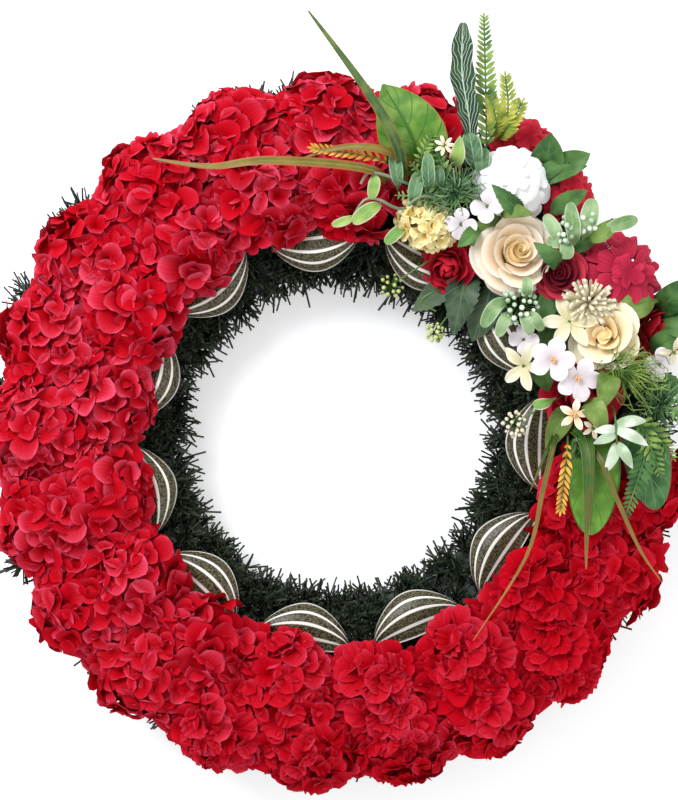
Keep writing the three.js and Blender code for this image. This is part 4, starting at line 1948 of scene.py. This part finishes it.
def leaves() -> list[Sprig]:
    """Lists the leaves, each by its spine from foot to tip and its width, the stems and the ferns.

    Returns:
        The leaves.
    """
    lacy = Petal(19, 8, 10, -10, 0.15, 0, 0.6)
    feather = Petal(20, 10, 12, -10, 0.15, 0, 0.6)
    leaflet = Petal(15, 7, 10, -10, 0.2, 0, 0.6)
    return [
        Leaves("broad_leaf_top", GREEN_LEAF, [
            Frond([(78, 240, 101), (74, 284, 156), (43, 342, 158)], 66),
        ], ["broad_leaf_top"]),
        Leaves("broad_leaf_bottom", LOW_LEAF, [
            Frond([(246, 6, 102), (246, -16, 154), (243, -92, 155)], 52, Outline.BROAD),
        ], ["broad_leaf_bottom"]),
        Leaves("broad_leaf_side", SIDE_LEAF, [
            Frond([(290, 26, 97), (295, -2, 146), (308, -68, 148)], 46, Outline.BROAD),
        ], ["broad_leaf_side"]),
        Leaves("rose_leaves_left", DARK_LEAF, [
            toothed([(128, 170, 98), (122, 144, 122), (114, 101, 112)], 36),
            toothed([(152, 158, 98), (147, 134, 112), (133, 96, 102)], 38, stalk=0.2),
            toothed([(118, 160, 94), (102, 148, 106), (74, 126, 98)], 26, stalk=0.2),
        ], ["rose_leaves_left"]),
        Leaves("collar_leaves", DARK_LEAF, [
            Frond([(156, 182, 88), (150, 172, 108), (146, 160, 124)], 44, Outline.BROAD, stalk=0.05),
            Frond([(182, 166, 88), (178, 156, 108), (172, 146, 124)], 44, Outline.BROAD, stalk=0.05),
            Frond([(212, 140, 88), (208, 130, 110), (204, 122, 128)], 44, Outline.BROAD, stalk=0.05),
            Frond([(236, 100, 88), (230, 90, 110), (226, 82, 128)], 44, Outline.BROAD, stalk=0.05),
            Frond([(170, 236, 88), (160, 228, 106), (152, 220, 120)], 44, Outline.BROAD, stalk=0.05),
        ]),
        Leaves("rose_leaves_right", ROSE_LEAF, [
            Frond([(196, 262, 92), (202, 268, 138), (206, 296, 150)], 34),
            Frond([(196, 262, 92), (220, 266, 136), (245, 277, 144)], 26),
            Frond([(195, 248, 120), (208, 256, 142), (243, 266, 138)], 16),
            Frond([(193, 250, 120), (202, 259, 142), (228, 275, 140)], 16),
        ], ["rose_leaves_right"]),
        Leaves("edge_leaves", ROSE_LEAF, [
            Frond([(310, 126, 80), (322, 134, 134), (343, 156, 140)], 28),
            Frond([(310, 126, 80), (330, 116, 130), (356, 104, 134)], 32),
            Frond([(307, 85, 110), (316, 93, 132), (338, 104, 130)], 23),
            Frond([(308, 46, 112), (316, 50, 132), (337, 54, 130)], 29),
        ], ["edge_leaves"]),
        Leaves("bloom_leaves", ROSE_LEAF, [
            toothed([(179, 217, 160), (165, 224, 180), (146, 243, 180)], 19),
            Frond([(204, 217, 140), (217, 227, 150), (242, 241, 148)], 19),
            toothed([(135, 206, 150), (127, 196, 160), (115, 185, 158)], 16),
            toothed([(215, 166, 150), (205, 174, 170), (187, 189, 168)], 19),
            Frond([(214, 146, 126), (206, 136, 144), (194, 108, 142)], 22),
            Frond([(210, 178, 126), (228, 190, 142), (250, 190, 140)], 22),
            Frond([(216, 122, 104), (208, 108, 134), (196, 82, 130)], 24),
            Frond([(196, 84, 104), (198, 70, 132), (206, 46, 128)], 24),
        ]),
        Leaves("moss_leaves", MOSS_LEAF, [
            Frond([(157, 218, 150), (164, 219, 176), (187, 215, 170)], 16, stalk=0.05),
            Frond([(170, 208, 136), (151, 207, 146), (130, 188, 142)], 27),
            Frond([(317, 136, 120), (292, 131, 148), (266, 117, 146)], 27),
            Frond([(261, 65, 150), (258, 55, 172), (252, 28, 168)], 23, stalk=0.1),
            Frond([(240, 36, 150), (244, 30, 174), (257, 7, 168)], 23, stalk=0.1),
            Frond([(238, 193, 150), (251, 197, 166), (273, 213, 162)], 17),
            Frond([(231, 30, 110), (218, 20, 138), (203, -11, 134)], 23),
        ]),
        Leaves("veined_leaf_top", VEINED_LEAF, [
            Frond(
                [(124, 264, 99), (127, 298, 158), (119, 352, 164), (120, 400, 164)], 25, Outline.WAVY, 0.5,
                0.2, 26,
            ),
        ], ["veined_leaf_top"]),
        Leaves("eucalyptus_leaves", DUSTY_LEAF, [
            oblong([(135, 263, 130), (131, 271, 156), (126, 297, 156)], 19, stalk=0.2),
            oblong([(143, 257, 130), (139, 264, 150), (141, 282, 150)], 15, stalk=0.2),
            oblong([(58, 242, 140), (57, 251, 162), (53, 278, 162)], 13, stalk=0.2),
            oblong([(89, 236, 140), (87, 247, 164), (86, 275, 164)], 13, stalk=0.2),
            oblong([(74, 225, 140), (73, 234, 160), (78, 258, 160)], 14, stalk=0.2),
            oblong([(99, 240, 140), (98, 248, 160), (98, 261, 160)], 9, stalk=0.2),
        ]),
        Leaves("vine_leaves", VINE_LEAF, [
            oblong([(33, 254, 160), (35, 247, 164), (32, 231, 160)], 12),
            oblong([(42, 227, 152), (31, 221, 160), (14, 209, 154)], 15),
            oblong([(15, 216, 152), (8, 211, 156), (-6, 207, 152)], 9),
            oblong([(68, 210, 130), (58, 201, 146), (46, 190, 142)], 12),
            Frond([(111, 266, 140), (114, 271, 168), (117, 291, 168)], 15, stalk=0.1),
            oblong([(212, 40, 140), (201, 35, 150), (189, 33, 146)], 11, stalk=0.2),
        ]),
        Leaves("berry_leaves_low", PALE_LEAF, [
            oblong([(166, 135, 150), (151, 128, 166), (139, 108, 160)], 14),
            oblong([(168, 123, 150), (160, 115, 164), (154, 99, 158)], 12),
            oblong([(178, 123, 150), (180, 115, 164), (186, 101, 158)], 12),
            oblong([(182, 123, 150), (188, 117, 164), (197, 105, 158)], 11),
            oblong([(182, 135, 150), (181, 143, 168), (181, 156, 166)], 11),
        ]),
        Leaves("berry_leaves_high", PALE_LEAF, [
            oblong([(228, 187, 150), (225, 199, 170), (222, 227, 168)], 15),
            oblong([(238, 193, 150), (239, 206, 168), (244, 231, 166)], 18, stalk=0.1),
            oblong([(218, 187, 150), (209, 197, 168), (199, 216, 164)], 14, stalk=0.1),
            oblong([(220, 189, 150), (211, 189, 166), (201, 192, 162)], 12),
            oblong([(220, 193, 150), (219, 184, 166), (220, 173, 162)], 14),
            oblong([(242, 193, 150), (261, 203, 166), (288, 212, 160)], 14, stalk=0.3),
        ]),
        Leaves("olive_leaves", OLIVE_LEAF, [
            Frond([(264, 14, 166), (279, 18, 177), (295, 18, 170)], 11, stalk=0.05),
            Frond([(264, 10, 166), (280, 4, 177), (297, -6, 168)], 11, stalk=0.05),
            Frond([(268, 10, 166), (256, 10, 175), (244, 8, 170)], 9, stalk=0.05),
            Frond([(268, 6, 166), (256, 2, 175), (244, -4, 168)], 10, stalk=0.05),
            Frond([(267, -2, 166), (262, -16, 175), (255, -33, 168)], 11, stalk=0.05),
            Frond([(266, -2, 166), (273, -13, 175), (282, -28, 168)], 11, stalk=0.05),
        ]),
        Stems("olive_stem", STALK, [[(266, 34, 140), (265, 23, 168), (267, -6, 168)]], 1.0),
        Stems("vine_stems", DUSTY_STEM, [
            [(84, 242, 140), (65, 247, 158), (45, 254, 162), (29, 256, 162), (22, 246, 158)],
            [(80, 227, 136), (58, 223, 150), (39, 231, 158), (25, 230, 158), (14, 214, 152)],
            [(111, 228, 140), (83, 234, 160), (67, 225, 160)],
        ], 1.5),
        Stems("berry_stems", STALK, [
            [(111, 187, 100), (85, 172, 122), (53, 152, 112)],
            [(132, 148, 96), (113, 127, 112), (97, 106, 104)],
            [(230, 46, 120), (201, 33, 144), (174, 15, 132)],
            [(112, 148, 96), (93, 144, 116), (82, 135, 112), (97, 126, 108)],
        ], 0.9),
        Sprays(
            "fern_top", FERN_LEAF, [(146, 268, 95), (144, 300, 144), (141, 407, 152)], 22, feather, 48,
            0.25, 0.7, nodes=["fern_top"],
        ),
        Sprays(
            "yellow_fern", LIME_LEAF, [(150, 292, 86), (163, 312, 156), (161, 348, 160)], 17, lacy, 46, 0.3,
            0.6, nodes=["yellow_fern"],
        ),
        Sprays(
            "yellow_fern_right", LIME_LEAF, [(152, 290, 100), (166, 304, 150), (177, 324, 154)], 14, lacy,
            46, 0.3, 0.6,
        ),
        Sprays(
            "yellow_fern_left", LIME_LEAF, [(150, 292, 100), (153, 306, 146), (148, 330, 150)], 13, lacy,
            46, 0.3, 0.6,
        ),
        Sprays(
            "fern_bottom", DARK_FERN, [(297, 7, 120), (299, -4, 156), (277, -72, 160)], 14, feather, 50,
            0.3,
        ),
        Sprays("fern_side", FERN_LEAF, [(289, 15, 130), (294, 9, 158), (310, -33, 158)], 9, lacy, 50),
        Sprays("fern_low", FERN_LEAF, [(285, 22, 130), (300, 12, 154), (324, -18, 150)], 9, lacy, 50),
        Sprays(
            "fern_curl", FERN_LEAF, [(84, 257, 130), (81, 274, 160), (96, 301, 160)], 11,
            Petal(12, 5.5, 0, -8, 0.1, 0, 0.6), 55,
        ),
        Sprays("foliage_left", FOLIAGE, [(111, 240, 110), (92, 244, 158), (71, 265, 160)], 9, leaflet),
        Sprays("foliage_low", FOLIAGE, [(107, 230, 110), (83, 233, 156), (58, 235, 156)], 9, leaflet),
        Sprays("foliage_right", FOLIAGE, [(300, 40, 110), (322, 30, 146), (348, 8, 142)], 9, leaflet),
        Sprays("foliage_high", FOLIAGE, [(111, 246, 110), (104, 256, 154), (92, 284, 156)], 9, leaflet),
    ]


def grasses() -> list[Sprig]:
    """Lists the spray's grass blades and ears.

    Returns:
        The grasses.
    """
    grain = Petal(14, 5.5, 20, 0, 0.35, 0, 0.6)
    return [
        Leaves("grass_blade_up", GRASS, [
            strip([(64, 236, 101), (58, 276, 176), (28, 330, 186), (-28, 406, 188)], 11),
        ], ["grass_blade_up"]),
        Leaves("grass_blade_left", BROWN_GRASS, [
            strip([(48, 236, 101), (34, 258, 164), (-64, 266, 178), (-122, 261, 172), (-178, 270, 160)], 9),
            strip([(90, 258, 120), (48, 275, 172), (7, 279, 176), (-32, 270, 168)], 8),
        ], ["grass_blade_left"]),
        Leaves("grass_blades_down", REED, [
            strip([(222, 14, 100), (236, -10, 168), (238, -124, 164)], 9),
            strip([(241, 9, 140), (243, -12, 170), (241, -81, 168)], 5),
            strip([(220, 16, 100), (202, -8, 158), (184, -50, 164)], 3.5),
        ], ["grass_blades_down"]),
        Leaves("grass_blades_long", RIPE_REED, [
            strip([(222, 14, 100), (207, -6, 162), (196, -48, 168), (180, -112, 168), (130, -193, 160)], 5),
            strip(
                [(222, 14, 100), (248, -14, 166), (264, -50, 168), (289, -104, 162), (313, -138, 150)], 5
            ),
        ]),
        Sprays(
            "wheat_left", WHEAT, [(56, 250, 120), (44, 268, 162), (-22, 278, 172)], 12, grain, 32, 0.35,
            0.4,
        ),
        Sprays(
            "wheat_bottom", WHEAT, [(226, 6, 120), (220, -10, 162), (214, -66, 160)], 11, grain, 32, 0.35,
            0.4,
        ),
    ]


@dataclass(frozen=True)
class Lamp:
    """A soft square lamp that faces the wreath, in metres and watts."""

    name: str
    at: Place
    side: float
    power: float
    colour: str

    def build(self) -> None:
        """Hangs the lamp."""
        light = bpy.data.lights.new(self.name, "AREA")
        light.size, light.energy, light.color = self.side, self.power, linear(self.colour)[:3]
        lamp = bpy.data.objects.new(self.name, light)
        lamp.location = self.at
        lamp.rotation_euler = (-lamp.location).to_track_quat("-Z", "Y").to_euler()
        bpy.context.scene.collection.objects.link(lamp)


@dataclass
class Studio:
    """The pale floor that glows a little, the soft light and the camera over the wreath."""

    floor_side: float = 60.0
    floor_depth: float = 0.5
    floor_glow: float = 0.35
    room_strength: float = 0.8
    lamps: Sequence[Lamp] = (
        Lamp("key", (-1.0, 1.2, 1.8), 1.2, 48.0, "#f6f8ff"),
        Lamp("fill", (1.6, -0.8, 2.0), 1.8, 12.0, "#fff6ee"),
    )
    camera_at: Place = (1, 38, 1890)
    sensor: float = 36.0
    lens: float = 81.0

    def build(self) -> None:
        """Makes the floor, the lamps, the room's light and the camera."""
        self.floor()
        for lamp in self.lamps:
            lamp.build()
        scene = bpy.context.scene
        scene.world = bpy.data.worlds.new("soft white room")
        scene.world.use_nodes = True
        background = scene.world.node_tree.nodes["Background"]
        background.inputs["Color"].default_value = linear("#eef2f6")
        background.inputs["Strength"].default_value = self.room_strength
        scene.view_settings.view_transform = "Standard"
        camera = bpy.data.cameras.new("camera")
        camera.sensor_width, camera.lens = self.sensor, self.lens
        viewer = bpy.data.objects.new("camera", camera)
        viewer.location = place(*self.camera_at)
        scene.collection.objects.link(viewer)
        scene.camera = viewer

    def floor(self) -> None:
        """Lays matt white paper just under the wreath."""
        half, under = self.floor_side / 2, -self.floor_depth * MM
        corners = [(-half, -half, under), (half, -half, under), (half, half, under), (-half, half, under)]
        made = bpy.data.meshes.new("floor")
        made.from_pydata(corners, [], [(0, 1, 2, 3)])
        paper = bpy.data.materials.new("white paper")
        paper.use_nodes = True
        inputs = paper.node_tree.nodes["Principled BSDF"].inputs
        inputs["Base Color"].default_value = linear("#fafafa")
        inputs["Roughness"].default_value = 0.9
        inputs["Emission Color"].default_value = linear("#ffffff")
        inputs["Emission Strength"].default_value = self.floor_glow
        made.materials.append(paper)
        floor = bpy.data.objects.new("floor", made)
        bpy.context.scene.collection.objects.link(floor)


def main() -> None:
    """Builds the wreath and its studio, and reports the pieces."""
    logging.basicConfig(level=logging.INFO, format="%(name)s: %(message)s")
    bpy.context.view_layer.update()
    wreath = Wreath()
    FirGarland().build(wreath)
    HydrangeaHeads().build(wreath)
    Ribbon().build(wreath)
    for piece in [*blooms(), *clusters(), *leaves(), *grasses()]:
        piece.build(wreath)
    Studio().build()
    total = 0
    for piece in wreath.pieces:
        triangles = sum(len(face.vertices) - 2 for face in piece.data.polygons)
        LOG.info("%s: %d triangles", piece.name, triangles)
        total += triangles
    LOG.info("%d pieces, %d triangles", len(wreath.pieces), total)


if __name__ == "__main__":
    main()
